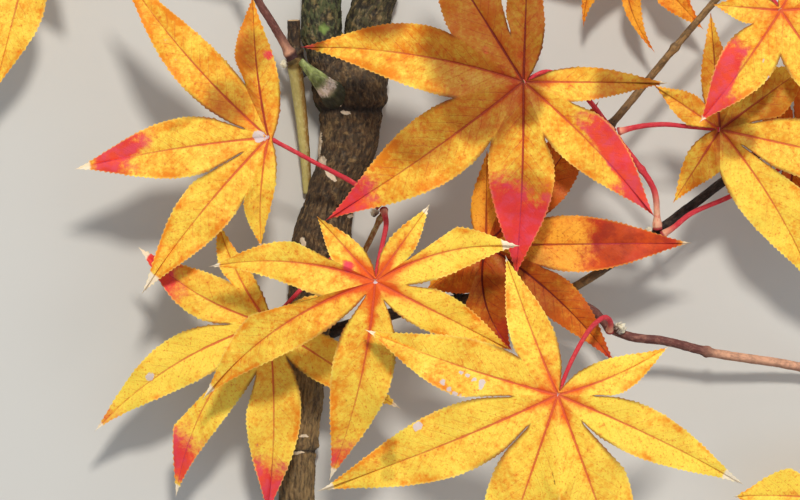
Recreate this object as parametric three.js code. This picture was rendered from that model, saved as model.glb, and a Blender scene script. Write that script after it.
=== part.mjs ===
// Branch of a japanese maple in autumn leaf, cut from the tree and lying on a level surface.
// Millimetres, +Z up. The limb lies along Y with its lower cut towards -Y, its twigs reach out
// to +X, and the leaves spread over it with their faces up. Places are measured from the middle
// of the spray of leaves, on the surface that the branch lies on, and the last lines move the
// whole branch so that the origin is under the middle of its box.
import * as THREE from "three";

// Driving dimensions of the wood
const LIMB_FOOT = -65.5; // Y of the flat cut at the limb's lower end
const FORK_FOOT = 46; // Y where the limb divides into its two forks
const FORK_TOP = 65.5; // Y of the flat cuts at the upper ends of both forks
const JOINT_GAP = 0.3; // clear space wherever one piece meets another
const LIMB_SIDES = 16;
const LIMB_STEPS = 26;
const FORK_STEPS = 7;
const TWIG_SIDES = 8;
const STALK_SIDES = 6;
const BUD_SIDES = 8;
const BUD_RINGS = 6;
const STEP_LENGTH = 4.5; // distance along a twig or stalk from one section to the next
const STALK_RADIUS = [0.75, 0.55]; // at the twig, at the leaf

// Driving dimensions of a leaf blade
const BLADE_THICK = 1.2;
const NOTCH_SHARE = 0.31; // a notch's distance from the hub, as a share of the lobes beside it
const BASE_REACH = 1.1; // how far the blade's base reaches from the hub towards the stalk
const NOTCH_CLEAR = 0.15; // least distance from a lobe's margin to the line halfway to its neighbour
const LOBE_STEPS = 7;
const LOBE_ARCH = 0.1; // rise of a midrib between hub and tip, as a share of the lobe's reach
const LOBE_FOLD = 0.12; // rise of a margin over the midrib, as a share of the half width
const LOBE_DROOP = 1.5; // power by which a lobe falls or rises from the hub to its tip's height
const SHOULDER_POWER = 1.3; // how fast the width at the notch dies away towards the tip
const SHOULDER_SHARE = 0.6; // share of the width at the notch that is left at a lobe's widest place
const BELLY_POWER = 1.5; // how slender the outer part of a lobe is
const BELLY_PEAK = 0.186; // highest value of s * (1 - s) ** BELLY_POWER

// Surface colours, roughness
const FINISH = {
  bark: ["#4f4038", 0.92],
  green_bark: ["#6b7350", 0.8],
  olive_bark: ["#97834a", 0.7],
  red_bark: ["#8c4038", 0.6],
  dark_bark: ["#3d2a26", 0.7],
  crimson: ["#b3203f", 0.5],
  gold: ["#f2a81e", 0.6],
  orange: ["#dd6a1c", 0.6],
  bud: ["#a8a860", 0.7],
};

// Sections of the limb, cut across Y: place along it, middle in X, half width, half thickness.
// It is slender at the foot, has a swelling on its left at mid length and a thick collar
// below the fork, and its underside rests on the surface all the way.
const LIMB_SECTIONS = [
  [LIMB_FOOT, -26.2, 4.4, 4.4],
  [-52, -25.9, 4.5, 4.5],
  [-49.5, -25.7, 4.8, 4.7],
  [-41, -24.5, 4.6, 4.6],
  [-22, -23.2, 5.4, 5.3],
  [-6, -21.2, 6.7, 6.4],
  [3, -19.8, 7.3, 6.8],
  [8, -18.9, 6.9, 6.5],
  [13, -17.6, 6.2, 6.2],
  [25, -13.3, 7.2, 6.8],
  [32, -12.5, 7.7, 7.1],
  [36, -12.4, 8.6, 7.6],
  [41, -12.7, 9.4, 7.8],
  [FORK_FOOT, -12.8, 9.5, 7.2],
];
const FORKS = {
  fork_left: [
    [FORK_FOOT + JOINT_GAP, -17.7, 4.7, 6.6],
    [50, -18.7, 5.1, 5.8],
    [55, -19.9, 5.2, 5.3],
    [FORK_TOP, -19.8, 4.9, 5],
  ],
  fork_right: [
    [FORK_FOOT + JOINT_GAP, -7.9, 4.7, 6.6],
    [50, -8.4, 5, 6],
    [55, -8.5, 5.5, 5.7],
    [FORK_TOP, -5.9, 5.4, 5.5],
  ],
};

// Side wood: the places that each piece passes through, its radius at both ends and its finish
const SIDE_WOOD = {
  dead_stub: {
    path: [[-24.9, 45.6, 6.8], [-26.6, 50.5, 8], [-26.9, 58, 9]],
    radius: [1.8, 1.5],
    finish: "bark",
  },
  side_spur: {
    path: [[-17.5, 38.2, 17.7], [-20.3, 42.6, 18], [-25, 47.6, 16]],
    radius: [2.9, 0.9],
    finish: "green_bark",
  },
  hanging_shoot: {
    path: [[-26.6, 46.2, 12.4], [-25.4, 38, 8], [-24.2, 26, 4.4], [-23.4, 14.5, 1.6]],
    radius: [1.8, 1.1],
    finish: "olive_bark",
  },
  red_twig: {
    path: [[-27.8, 49.6, 16.2], [-31.6, 56.2, 18], [-35.5, 62.5, 20], [-40.3, 73.4, 22]],
    radius: [1.15, 0.9],
    finish: "red_bark",
  },
  left_twig: {
    path: [[-14.7, -11.8, 8], [-12.6, -6.8, 11.5], [-9.4, -1.2, 16], [-4.3, 9.3, 21.5]],
    radius: [0.85, 0.7],
    finish: "olive_bark",
  },
  main_twig: {
    path: [[-16.4, -20.2, 5.8], [-3, -16.4, 10.5], [13.6, -12.8, 13.6], [40, -11.9, 15]],
    radius: [1.6, 1.35],
    finish: "dark_bark",
  },
  upper_twig: {
    path: [[15, -10.3, 14.6], [34, 11, 17.4], [53.6, 32.2, 20], [69.6, 51.5, 22.4], [86.2, 70.8, 25]],
    radius: [1.1, 0.85],
    finish: "dark_bark",
  },
  middle_twig: {
    path: [[41.8, -10.6, 15.4], [49.5, -6, 16.8], [64, 4.2, 18.6], [82.9, 18.4, 15], [99.2, 31.5, 7.6],
      [112.6, 41.3, 1.5]],
    radius: [1.1, 1.25],
    finish: "dark_bark",
  },
  lower_twig: {
    path: [[41.9, -12.8, 15.2], [48.4, -15.1, 16], [53.2, -19.8, 16.6], [58.4, -21.9, 16.2],
      [67, -23, 14.8], [79, -26, 11.4], [100, -29.4, 5.6], [121.2, -35.4, 1.4]],
    radius: [1.1, 1.2],
    finish: "red_bark",
  },
  red_shoot: {
    path: [[64.7, 6.8, 21], [64, 14.8, 22.6], [59.6, 21.8, 24.4], [54.2, 28.6, 26.4]],
    radius: [1.05, 0.85],
    finish: "crimson",
  },
};

// Buds and the collars of bud scales at the nodes: middle and half sizes
const BUDS = {
  bud_left: { at: [-12, -2.4, 16.4], size: [0.9, 1.3, 0.9] },
  bud_stalks: { at: [-6.5, 9.6, 21.7], size: [0.9, 1, 0.9] },
  bud_middle: { at: [62.4, 5, 20.6], size: [0.9, 0.8, 0.8] },
  bud_lower: { at: [55.8, -19.3, 18.7], size: [1.2, 1.4, 1.1] },
  bud_spur: { at: [-29.4, 46.9, 15.2], size: [1, 0.9, 0.9] },
};

// Leaves. Each has its hub and the route of its stalk from the twig, and one row for each
// lobe, going round counter-clockwise from the stalk: tip X, Y and Z, half width, sideways bow
// of the midrib and, where it isn't NOTCH_SHARE, the share at which the next notch lies.
const LEAVES = {
  leaf_left: {
    hub: [-33, 28.2, 32],
    finish: "gold",
    stalk: [[-5.6, 11.4, 23.9], [-10.5, 16, 25.4], [-22, 22.3, 28.5]],
    lobes: [
      [-36.8, 63.8, 36, 5.2, 1],
      [-71, 72, 35, 6.1, 2, 0.12],
      [-81.8, 20.2, 30, 7.6, -1, 0.15],
      [-64.8, -11, 29.5, 6.6, -1.2, 0.43],
      [-34.8, 0.6, 28, 3.6, -1],
    ],
  },
  leaf_upper: {
    hub: [30.8, 42, 44],
    finish: "gold",
    stalk: [[53, 30.2, 27.6], [45, 40, 34], [37, 44.6, 40]],
    lobes: [
      [32, 77.4, 44, 4.9, 0],
      [6.3, 81, 43, 7.2, 0, 0.42],
      [-25, 50.8, 35, 7.6, -2.4],
      [-18.8, 7.3, 34, 8.7, 1],
      [29, -6.8, 35.5, 8.1, 0.6],
      [63.8, 8.3, 34, 6.9, 1.2],
      [67.3, 41.8, 38, 3.8, 0],
    ],
  },
  leaf_behind: {
    hub: [21.6, 1.2, 27],
    finish: "orange",
    stalk: [[14.9, -9.2, 16.8], [11.6, -4.4, 19.6], [14.6, 0.6, 23]],
    lobes: [
      [6.6, -10.2, 24, 5, 0, 0.55],
      [28.1, -25.1, 21, 5.6, -3.6],
      [54, -28.6, 22, 5.2, 2.2],
      [73.3, 1.8, 25, 6.9, 0],
      [50, 37.5, 27, 6.6, -1.4],
      [21.8, 25, 30, 4, 0],
    ],
  },
  leaf_front: {
    hub: [-6.2, -7.8, 46],
    finish: "gold",
    stalk: [[-4, 9.6, 23.2], [-3.5, 6.8, 27], [-4.2, 2.3, 34], [-5.5, -3.5, 41.4]],
    lobes: [
      [-20.8, 8.5, 42.5, 3.2, 0, 0.38],
      [-47.8, -4.2, 40, 5.2, -3],
      [-49.5, -37.5, 33, 7, -4, 0.08],
      [-17.8, -58, 31, 7.8, 2, 0.12],
      [28.2, -25.2, 41, 5.4, 0, 0.22],
      [30, 1, 44, 5.9, 3],
      [7.5, 11.5, 47, 3.2, 0],
    ],
  },
  leaf_low: {
    hub: [-33, -18.5, 23],
    finish: "gold",
    stalk: [[-11, -0.2, 17.9], [-13.6, 0.4, 20.6], [-23, -8, 21.4]],
    lobes: [
      [-46, 8, 21, 3.3, 1.5, 0.42],
      [-65.8, 0.8, 23, 5.4, 2.6, 0.22],
      [-77, -45.8, 17, 6.4, -3.7, 0.2],
      [-56.5, -62.2, 15, 6.3, -4.5, 0.27],
      [-33.5, -67.5, 14, 7, 1.5, 0.22],
      [0.2, -40, 17, 5.6, 0],
      [-11, -10.6, 21, 3.2, 0],
    ],
  },
  leaf_lower: {
    hub: [39.2, -36, 58],
    finish: "gold",
    stalk: [[52.8, -20, 18.6], [52.9, -18, 22.5], [51.3, -16.9, 26.8], [49, -18.4, 31], [46, -22, 39],
      [42.6, -28, 49]],
    lobes: [
      [26.2, -1.2, 54, 5.2, 0.5],
      [-8.8, -19.8, 51, 7.4, 1, 0.2],
      [-20.8, -60.2, 47, 8.6, 0.9, 0.17],
      [20, -92.5, 46, 9.2, 0, 0.45],
      [58.5, -88.5, 46, 9.4, 0, 0.17],
      [85.8, -58.5, 50, 6.4, 0.9, 0.22],
      [66.8, -24, 54, 4.7, -1.2],
    ],
  },
  leaf_right: {
    hub: [80.2, 30.2, 32],
    finish: "gold",
    stalk: [[55.5, 29.9, 27.2], [60, 31, 28.4], [66.2, 31.5, 29.4], [73.8, 30.8, 30.4]],
    lobes: [
      [68.5, 11.8, 27, 3.7, 0],
      [104.5, -10, 25, 7.9, 1.9, 0.13],
      [134, 18.3, 29, 7.4, 0, 0.19],
      [103, 47, 34, 6.4, 0],
      [77.8, 59.5, 34, 3.6, 0],
      [63.8, 41.2, 32, 3.5, 0],
    ],
  },
  leaf_corner: {
    hub: [95, 59.8, 46],
    finish: "gold",
    stalk: [[87, 70.9, 26.3], [89.4, 68.2, 34], [92, 64.4, 41]],
    lobes: [
      [78.2, 61.2, 45, 3.4, 0],
      [74.8, 31.8, 42, 6.6, 0.6],
      [117.6, 26.8, 42, 6.8, 0],
      [137, 63, 44, 6.6, 0],
      [106, 80, 45, 3.8, 0],
    ],
  },
  leaf_top: {
    hub: [57, 77, 15],
    finish: "orange",
    stalk: [[84.1, 71.6, 23.2], [76, 73, 16.4], [66, 75.5, 13]],
    lobes: [
      [70, 88, 16, 4, 0],
      [57, 100, 16, 5.4, 0],
      [36, 90, 14, 5.8, 0],
      [33.5, 71, 13, 4.6, 0],
      [46.3, 56.3, 12, 1.7, -3],
      [64.3, 49.8, 11, 1.7, -3],
      [76.6, 55.6, 12, 4, 0],
    ],
  },
  leaf_far: {
    hub: [-91.2, 81.2, 25],
    finish: "gold",
    stalk: [[-41.4, 74.2, 22.5], [-62, 79, 25]],
    lobes: [
      [-79, 95, 25, 3.6, 0],
      [-94.4, 117, 24, 6.4, 0],
      [-122.4, 112, 23, 7.4, 0],
      [-140, 88, 22, 7.8, 0],
      [-126, 57, 22, 7.4, 0],
      [-102, 39.5, 23, 7.2, 0],
      [-82, 66, 25, 3.4, 0],
    ],
  },
  leaf_floor: {
    hub: [115, -64, 13],
    finish: "gold",
    stalk: [[121.6, -36.6, 2.6], [119, -50, 7.6]],
    lobes: [
      [106, -51.4, 13, 3.4, 0],
      [84.2, -62.2, 12, 7.4, -1],
      [87.6, -90, 9, 7, 0],
      [110, -101, 7, 7.4, 0],
      [136.4, -94.6, 7, 7, 0],
      [145, -69.2, 8, 6, 0],
      [126, -56, 12, 3.4, 0],
    ],
  },
  leaf_under: {
    hub: [99.2, 22.5, 18],
    finish: "orange",
    stalk: [[66.6, 4.2, 20.4], [69, 5.8, 21], [73, 9, 20], [83.8, 13.8, 16.8]],
    lobes: [
      [97.6, 10.6, 17, 3, 0],
      [118, 4.8, 14, 5.4, 0],
      [134.6, 16.2, 12, 6.2, 0],
      [134, 42, 12, 6.4, 0],
      [110, 52.6, 15, 5.6, 0],
      [91.6, 42.6, 18, 4, 0],
      [88.4, 27.5, 19, 2.8, 0],
    ],
  },
};

function material(finish) {
  const [color, roughness] = FINISH[finish];
  return new THREE.MeshStandardMaterial({ color, roughness, metalness: 0 });
}

function named(name, geometry, finish) {
  const mesh = new THREE.Mesh(geometry, material(finish));
  mesh.name = name;
  return mesh;
}

// Moves every vertex of a closed geometry to the place that the rule gives for it.
function reshape(geometry, rule) {
  const position = geometry.getAttribute("position");
  const from = new THREE.Vector3();
  for (let i = 0; i < position.count; i += 1) {
    const to = rule(from.fromBufferAttribute(position, i));
    position.setXYZ(i, to.x, to.y, to.z);
  }
  return geometry;
}

// A limb lying along Y: a closed cylinder whose cross sections follow the given rows.
function limb(sections, steps) {
  const rows = new THREE.CatmullRomCurve3(
    sections.map(([, middle, wide, thick]) => new THREE.Vector3(middle, wide, thick)),
  );
  const unit = new THREE.CylinderGeometry(1, 1, 1, LIMB_SIDES, steps);
  unit.rotateY(Math.PI / LIMB_SIDES); // one of its flat sides faces down
  return reshape(unit, (vertex) => {
    const place = (vertex.y + 0.5) * (sections.length - 1);
    const below = Math.min(Math.floor(place), sections.length - 2);
    const along = THREE.MathUtils.lerp(sections[below][0], sections[below + 1][0], place - below);
    const section = rows.getPoint(vertex.y + 0.5);
    const lowest = Math.cos(Math.PI / LIMB_SIDES);
    return new THREE.Vector3(
      section.x + section.y * vertex.x,
      along,
      section.z * (lowest + vertex.z),
    );
  });
}

// A round twig or stalk along a smooth path, tapering from one radius to the other, with flat ends.
function twig(path, [startRadius, endRadius], sides) {
  const curve = new THREE.CatmullRomCurve3(path.map((point) => new THREE.Vector3(...point)));
  const steps = Math.max(3, Math.round(curve.getLength() / STEP_LENGTH));
  const frames = curve.computeFrenetFrames(steps, false);
  const unit = new THREE.CylinderGeometry(1, 1, 1, sides, steps);
  return reshape(unit, (vertex) => {
    const share = vertex.y + 0.5;
    const index = Math.round(share * steps);
    const radius = THREE.MathUtils.lerp(startRadius, endRadius, share);
    return curve
      .getPointAt(share)
      .addScaledVector(frames.normals[index], radius * vertex.x)
      .addScaledVector(frames.binormals[index], -radius * vertex.z);
  });
}

// The half width of a lobe at s, from 0 level with the notch to 1 at the tip.
function halfWidth(s, shoulder, wide) {
  const belly = Math.max(0, wide - SHOULDER_SHARE * shoulder) / BELLY_PEAK;
  return shoulder * (1 - s) ** SHOULDER_POWER + belly * s * (1 - s) ** BELLY_POWER;
}

// A leaf blade: lobes that share the hub and the notches between them, as one thin closed plate.
function blade({ hub, stalk, lobes }) {
  const [hubX, hubY, hubZ] = hub;
  const top = [];
  const faces = [];
  const rim = [];
  const addPoint = (x, y, z) => top.push([x, y, z]) - 1;

  const arms = lobes.map(([x, y, z, wide, bow, notch = NOTCH_SHARE]) => {
    const reach = Math.hypot(x - hubX, y - hubY);
    const along = [(x - hubX) / reach, (y - hubY) / reach];
    return { reach, along, tipZ: z, wide, bow, notch, angle: Math.atan2(along[1], along[0]) };
  });

  // a place on a lobe: share of its reach, and distance to the left of its midrib
  const onLobe = (arm, share, offset) => {
    const sideways = offset + arm.bow * 4 * share * (1 - share);
    const rise = LOBE_ARCH * arm.reach * share * (1 - share) + LOBE_FOLD * Math.abs(offset);
    return [
      hubX + arm.along[0] * arm.reach * share - arm.along[1] * sideways,
      hubY + arm.along[1] * arm.reach * share + arm.along[0] * sideways,
      hubZ + (arm.tipZ - hubZ) * Math.max(share, 0) ** LOBE_DROOP + rise,
    ];
  };

  // the notches lie halfway round from lobe to lobe, and the last one is the blade's base
  const stalkEnd = stalk[stalk.length - 1];
  const stalkAngle = Math.atan2(stalkEnd[1] - hubY, stalkEnd[0] - hubX);
  const notches = arms.map((arm, i) => {
    if (i === arms.length - 1) {
      return { angle: stalkAngle, reach: BASE_REACH, rise: 0 };
    }
    const next = arms[i + 1];
    const turn = (next.angle - arm.angle + 2 * Math.PI) % (2 * Math.PI);
    const reach = (arm.notch * (arm.reach + next.reach)) / 2;
    return { angle: arm.angle + turn / 2, reach, rise: LOBE_ARCH * reach };
  });

  const centre = addPoint(hubX, hubY, hubZ);
  const notchPoints = notches.map(({ angle, reach, rise }) =>
    addPoint(hubX + reach * Math.cos(angle), hubY + reach * Math.sin(angle), hubZ + rise),
  );

  arms.forEach((arm, i) => {
    const corners = [notchPoints[(i + arms.length - 1) % arms.length], notchPoints[i]];
    const sides = corners.map((corner, side) => {
      const [x, y] = top[corner];
      const start = ((x - hubX) * arm.along[0] + (y - hubY) * arm.along[1]) / arm.reach;
      const left = (y - hubY) * arm.along[0] - (x - hubX) * arm.along[1];
      const shoulder = Math.abs(left - arm.bow * 4 * start * (1 - start));
      const slope = start > 0 ? Math.abs(left) / (start * arm.reach) : Infinity;
      return { start, shoulder, slope, sign: side === 0 ? -1 : 1 };
    });
    const rows = [];
    for (let k = 0; k <= LOBE_STEPS; k += 1) {
      const s = k / LOBE_STEPS;
      const shares = sides.map(({ start }) => start + (1 - start) * s);
      const middle = addPoint(...onLobe(arm, (shares[0] + shares[1]) / 2, 0));
      if (k === LOBE_STEPS) {
        rows.push([middle, middle, middle]);
      } else if (k === 0) {
        rows.push([corners[0], middle, corners[1]]);
      } else {
        const margin = sides.map(({ shoulder, slope, sign }, side) => {
          const share = shares[side];
          const bowed = sign * arm.bow * 4 * share * (1 - share);
          const room = slope * arm.reach * share - NOTCH_CLEAR - bowed;
          const wide = Math.min(halfWidth(s, shoulder, arm.wide), room);
          return addPoint(...onLobe(arm, share, sign * wide));
        });
        rows.push([margin[0], middle, margin[1]]);
      }
    }
    faces.push([centre, rows[0][0], rows[0][1]], [centre, rows[0][1], rows[0][2]]);
    for (let k = 0; k < LOBE_STEPS; k += 1) {
      const [right, middle, left] = rows[k];
      const [nextRight, nextMiddle, nextLeft] = rows[k + 1];
      if (k < LOBE_STEPS - 1) {
        faces.push([right, nextRight, nextMiddle], [middle, nextMiddle, nextLeft]);
        faces.push([right, nextMiddle, middle], [middle, nextLeft, left]);
      } else {
        faces.push([right, nextMiddle, middle], [middle, nextMiddle, left]);
      }
    }
    for (let k = 0; k < LOBE_STEPS; k += 1) {
      rim.push(rows[k][0]);
    }
    for (let k = LOBE_STEPS; k > 0; k -= 1) {
      rim.push(rows[k][2]);
    }
  });

  const count = top.length;
  const positions = [];
  for (const offset of [BLADE_THICK / 2, -BLADE_THICK / 2]) {
    top.forEach(([x, y, z]) => positions.push(x, y, z + offset));
  }
  const index = [];
  for (const [a, b, c] of faces) {
    index.push(a, b, c, a + count, c + count, b + count);
  }
  rim.forEach((a, i) => {
    const b = rim[(i + 1) % rim.length];
    index.push(a, a + count, b, b, a + count, b + count);
  });
  const geometry = new THREE.BufferGeometry();
  geometry.setAttribute("position", new THREE.Float32BufferAttribute(positions, 3));
  geometry.setIndex(index);
  return geometry;
}

// A leaf stalk runs from its twig to just under the blade's hub.
function leafStalk({ hub, stalk }) {
  const under = BLADE_THICK / 2 + JOINT_GAP + STALK_RADIUS[1];
  return twig([...stalk, [hub[0], hub[1], hub[2] - under]], STALK_RADIUS, STALK_SIDES);
}

function bud({ at, size }) {
  const geometry = new THREE.SphereGeometry(1, BUD_SIDES, BUD_RINGS);
  geometry.scale(...size);
  geometry.translate(...at);
  return geometry;
}

const branch = new THREE.Group();
branch.add(named("limb", limb(LIMB_SECTIONS, LIMB_STEPS), "bark"));
branch.add(named("fork_left", limb(FORKS.fork_left, FORK_STEPS), "green_bark"));
branch.add(named("fork_right", limb(FORKS.fork_right, FORK_STEPS), "bark"));
for (const [name, { path, radius, finish }] of Object.entries(SIDE_WOOD)) {
  branch.add(named(name, twig(path, radius, TWIG_SIDES), finish));
}
for (const [name, shape] of Object.entries(BUDS)) {
  branch.add(named(name, bud(shape), "bud"));
}
for (const [name, leaf] of Object.entries(LEAVES)) {
  branch.add(named(name, blade(leaf), leaf.finish));
  branch.add(named(name.replace("leaf", "stalk"), leafStalk(leaf), "crimson"));
}

// The origin goes under the middle of the branch's box.
const box = new THREE.Box3().setFromObject(branch, true);
const middle = box.getCenter(new THREE.Vector3());
branch.position.set(-middle.x, -middle.y, -box.min.z);

export default branch;
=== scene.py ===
"""Looks of a japanese maple branch in autumn leaf, cut from the tree and lying on a level surface.

The tables are in millimetres, from the middle of the spray of leaves, +Z up. The limb lies along Y,
its twigs reach out to +X and the leaves spread over it with their faces up.
"""

import math

import bpy
import numpy as np
from bpy.props import FloatProperty, FloatVectorProperty, IntProperty, PointerProperty
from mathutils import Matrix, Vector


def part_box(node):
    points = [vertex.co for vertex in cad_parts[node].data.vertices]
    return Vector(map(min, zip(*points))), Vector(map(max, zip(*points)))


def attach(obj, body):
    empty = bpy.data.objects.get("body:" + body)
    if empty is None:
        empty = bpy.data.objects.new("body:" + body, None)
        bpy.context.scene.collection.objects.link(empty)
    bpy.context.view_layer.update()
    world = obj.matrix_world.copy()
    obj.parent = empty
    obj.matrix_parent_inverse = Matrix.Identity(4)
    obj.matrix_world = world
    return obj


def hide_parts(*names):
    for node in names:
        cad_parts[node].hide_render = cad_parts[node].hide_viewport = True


bl_info = {
    "name": "Japanese maple branch",
    "version": (1, 0, 0),
    "blender": (4, 5, 0),
    "location": "3D View > Sidebar > Maple",
    "description": "Dresses a cut branch of japanese maple in bark, buds and autumn leaves",
    "category": "Object",
}

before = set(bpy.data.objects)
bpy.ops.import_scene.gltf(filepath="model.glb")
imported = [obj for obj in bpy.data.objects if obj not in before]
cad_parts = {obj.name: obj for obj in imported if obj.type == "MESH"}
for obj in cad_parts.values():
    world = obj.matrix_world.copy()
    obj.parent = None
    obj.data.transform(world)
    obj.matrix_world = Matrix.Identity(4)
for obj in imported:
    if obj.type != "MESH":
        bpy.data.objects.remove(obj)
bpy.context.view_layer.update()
MM = 0.001

# Sections across the limb and its forks: place along Y, middle in X, half width, half thickness
FORK_FOOT = 46.0
FORK_TOP = 65.5
LIMB_SECTIONS = [
    (-65.5, -26.2, 4.4, 4.4), (-52, -25.9, 4.5, 4.5), (-49.5, -25.7, 4.8, 4.7), (-41, -24.5, 4.6, 4.6),
    (-22, -23.2, 5.4, 5.3), (-6, -21.2, 6.7, 6.4), (3, -19.8, 7.3, 6.8), (8, -18.9, 6.9, 6.5),
    (13, -17.6, 6.2, 6.2), (25, -13.3, 7.2, 6.8), (32, -12.5, 7.7, 7.1), (36, -12.4, 8.6, 7.6),
    (41, -12.7, 9.4, 7.8), (FORK_FOOT, -12.8, 9.5, 7.2), (47.2, -12.8, 8.6, 6.9), (48.0, -12.8, 6.6, 6.2),
]
# The forks start inside the limb's collar, so the bark runs on from one to the other
FORKS = {
    "fork_left": [(40, -16.6, 3.6, 5.6), (FORK_FOOT, -17.7, 4.7, 6.6), (50, -18.7, 5.1, 5.8),
                  (55, -19.9, 5.2, 5.3), (FORK_TOP, -19.8, 4.9, 5)],
    "fork_right": [(40, -9.2, 3.6, 5.6), (FORK_FOOT, -7.9, 4.7, 6.6), (50, -8.4, 5, 6),
                   (55, -8.5, 5.5, 5.7), (FORK_TOP, -5.9, 5.4, 5.5)],
}
FORK_GREEN = {"limb": 0.0, "fork_left": 1.0, "fork_right": 0.5}  # how green the bark turns towards the top
GREEN_FROM, GREEN_FULL = 46, 55
# Scars on the top of the limb's bark: middle X and Y, half sizes in X and Y, and turn in degrees
LIMB_SCARS = [
    (-13.7, 34.6, 1.5, 0.6, -8), (-16.7, 36.8, 2.4, 0.6, -6), (-20.4, 26.6, 0.9, 3.6, -4),
    (-19.6, 22.4, 1.3, 1.5, 20), (-17.6, 19.0, 0.8, 2.6, 40), (-12.5, 8.5, 0.9, 0.5, 0),
    (-24.5, 2.0, 0.8, 1.4, 20), (-20.5, -30.0, 0.7, 1.1, 15), (-26.6, -51.2, 2.6, 0.5, 3),
    (-24.2, -47.0, 1.4, 0.4, 0),
]
FORK_MOSS = (-19.3, 55.8, 1.5)  # a green spot on the left fork: middle X and Y, and radius
TOP_SIDE = 5  # height over which the scars and the green spot show
# Rings round the limb: place along it, height, half breadth. A sunken ring gets painted shade.
LIMB_RINGS = [(-52.1, 0.3, 0.5), (-50.8, -0.5, 0.45), (-49.6, 0.35, 0.6), (-37.5, 0.2, 0.6),
              (35.5, -1.0, 1.1), (38.0, 0.35, 1.2), (44.6, 0.35, 1.3), (17.5, 0.25, 1.0)]
CUT_RINGS = (0.08, 0.25, 0.45, 0.65, 0.82, 0.93, 0.985)  # a cut end's rings, as shares of its radius
LIMB_LOWEST = 0.05
WORN_FROM, WORN_FULL = 8, 30  # how far down the limb its bark turns pale and worn
LEAST_WORN, MORE_WORN = 0.15, 0.75

# Side wood: places that each piece passes through, radius at both ends, material slot, places of its
# nodes as shares of its length, the shares between which its bark turns from its main tone to its
# second (or back, where the first share is larger), the lengths between which the painted shade in the
# crease at its foot fades, and how rough it is
SIDE_WOOD = {
    "dead_stub": ([(-24.9, 45.6, 6.8), (-26.6, 50.5, 8), (-26.9, 58, 9)],
                  (1.8, 1.5), "bark", [0.45], (2.0, 3.0), (1.0, 2.0), 2.2),
    "side_spur": ([(-16.2, 39.2, 10), (-16.8, 39.4, 14.6), (-18.2, 40.7, 16.6), (-20.7, 43.2, 17.4),
                   (-25, 47.6, 16)],
                  (4.5, 0.75), "green_bark", [], (0.62, 0.54), (8.0, 9.6), 1.5),
    "hanging_shoot": ([(-26.6, 46.2, 12.4), (-25.4, 38, 8), (-24.2, 26, 4.4), (-23.4, 14.5, 1.6)],
                      (1.85, 1.1), "olive_bark", [], (1.4, 2.0), (1.0, 2.0), 1.0),
    "red_twig": ([(-27.8, 49.6, 16.2), (-31.6, 56.2, 18), (-35.5, 62.5, 20), (-40.3, 73.4, 22)],
                 (1.15, 0.9), "red_bark", [0.06, 0.95], (0.3, 0.0), (1.0, 2.0), 1.0),
    "left_twig": ([(-14.7, -11.8, 8), (-12.6, -6.8, 11.5), (-9.4, -1.2, 16), (-4.3, 9.3, 21.5)],
                  (0.8, 0.65), "olive_bark", [0.5, 0.93], (0.1, 0.4), (1.0, 2.0), 1.0),
    "main_twig": ([(-16.4, -20.2, 5.8), (-3, -16.4, 10.5), (13.6, -12.8, 13.6), (40, -11.9, 15)],
                  (1.6, 1.35), "dark_bark", [0.52, 0.98], (0.2, 2.0), (1.0, 2.0), 1.0),
    "upper_twig": ([(15, -10.3, 14.6), (34, 11, 17.4), (53.6, 32.2, 20), (69.6, 51.5, 22.4),
                    (86.2, 70.8, 25)],
                   (1.1, 0.85), "dark_bark", [0.53, 0.76], (0.38, 0.7), (1.0, 2.0), 1.0),
    "middle_twig": ([(41.8, -10.6, 15.4), (49.5, -6, 16.8), (64, 4.2, 18.6), (82.9, 18.4, 15),
                     (99.2, 31.5, 7.6), (112.6, 41.3, 1.5)],
                    (1.1, 1.25), "dark_bark", [0.3, 0.8], (0.17, 0.08), (1.0, 2.0), 1.0),
    "lower_twig": ([(41.9, -12.8, 15.2), (48.4, -15.1, 16), (53.2, -19.8, 16.6), (58.4, -21.9, 16.2),
                    (67, -23, 14.8), (79, -26, 11.4), (100, -29.4, 5.6), (121.2, -35.4, 1.4)],
                   (1.1, 1.2), "red_bark", [0.17, 0.47, 0.97], (0.44, 0.52), (1.0, 2.0), 1.0),
    "red_shoot": ([(64.7, 6.8, 21), (64, 14.8, 22.6), (59.6, 21.8, 24.4), (54.2, 28.6, 26.4)],
                  (0.85, 0.62), "stalk", [0.05, 0.6, 0.96], (0.42, 0.12), (0.2, 0.8), 1.0),
}
TWIG_SINK = 1.6  # how far a twig's foot goes into the wood that it grows from
TWIG_FLARE = 0.35  # widening of a twig's foot, as a share of its radius
NODE_SWELL, NODE_HALF = 0.35, 0.9
FOOT_RUN, END_RUN = 1.6, 1.2  # how soon the widening at a foot and at an end dies away
TWIG_CUT = [(0.04, 0.9), (0.05, 0.6), (0.06, 0.25)]  # rings on a twig's end: rise, share of its radius
SCARRED_FOOT = 5  # a foot whose painted shade reaches farther than this has a pale ring past it
PALE_RING = (0.6, 0.4, 1.4)  # that ring's strength, its distance from the painted shade, its half breadth
STALK_RADIUS = (0.69, 0.506)
STALK_SINK, STALK_FOOT, STALK_END = 0.7, 0.45, 0.3
# Buds: middle, half sizes, turn in degrees and how far up its scales it is dark
BUDS = {
    "bud_left": ((-12, -2.4, 16.4), (0.9, 1.4, 0.9), 15, 0.25),
    "bud_stalks": ((-6.5, 9.6, 21.7), (0.95, 1.25, 0.95), 40, 0.5),
    "bud_middle": ((62.4, 5, 20.6), (0.85, 1.1, 0.85), 60, 0.1),
    "bud_lower": ((55.6, -19.5, 18.2), (1.35, 1.8, 1.3), -48, 0.62),
    "bud_spur": ((-29.4, 46.9, 15.2), (0.95, 1.2, 0.95), 100, 0.3),
}
BUD_PAIRS = 4
SCALE_COLUMNS = SCALE_ROWS = 9
SCALE_THICK = 0.1
SCALE_SPREAD = 1.25  # half the turn that a scale spans at its foot, in radians

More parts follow.
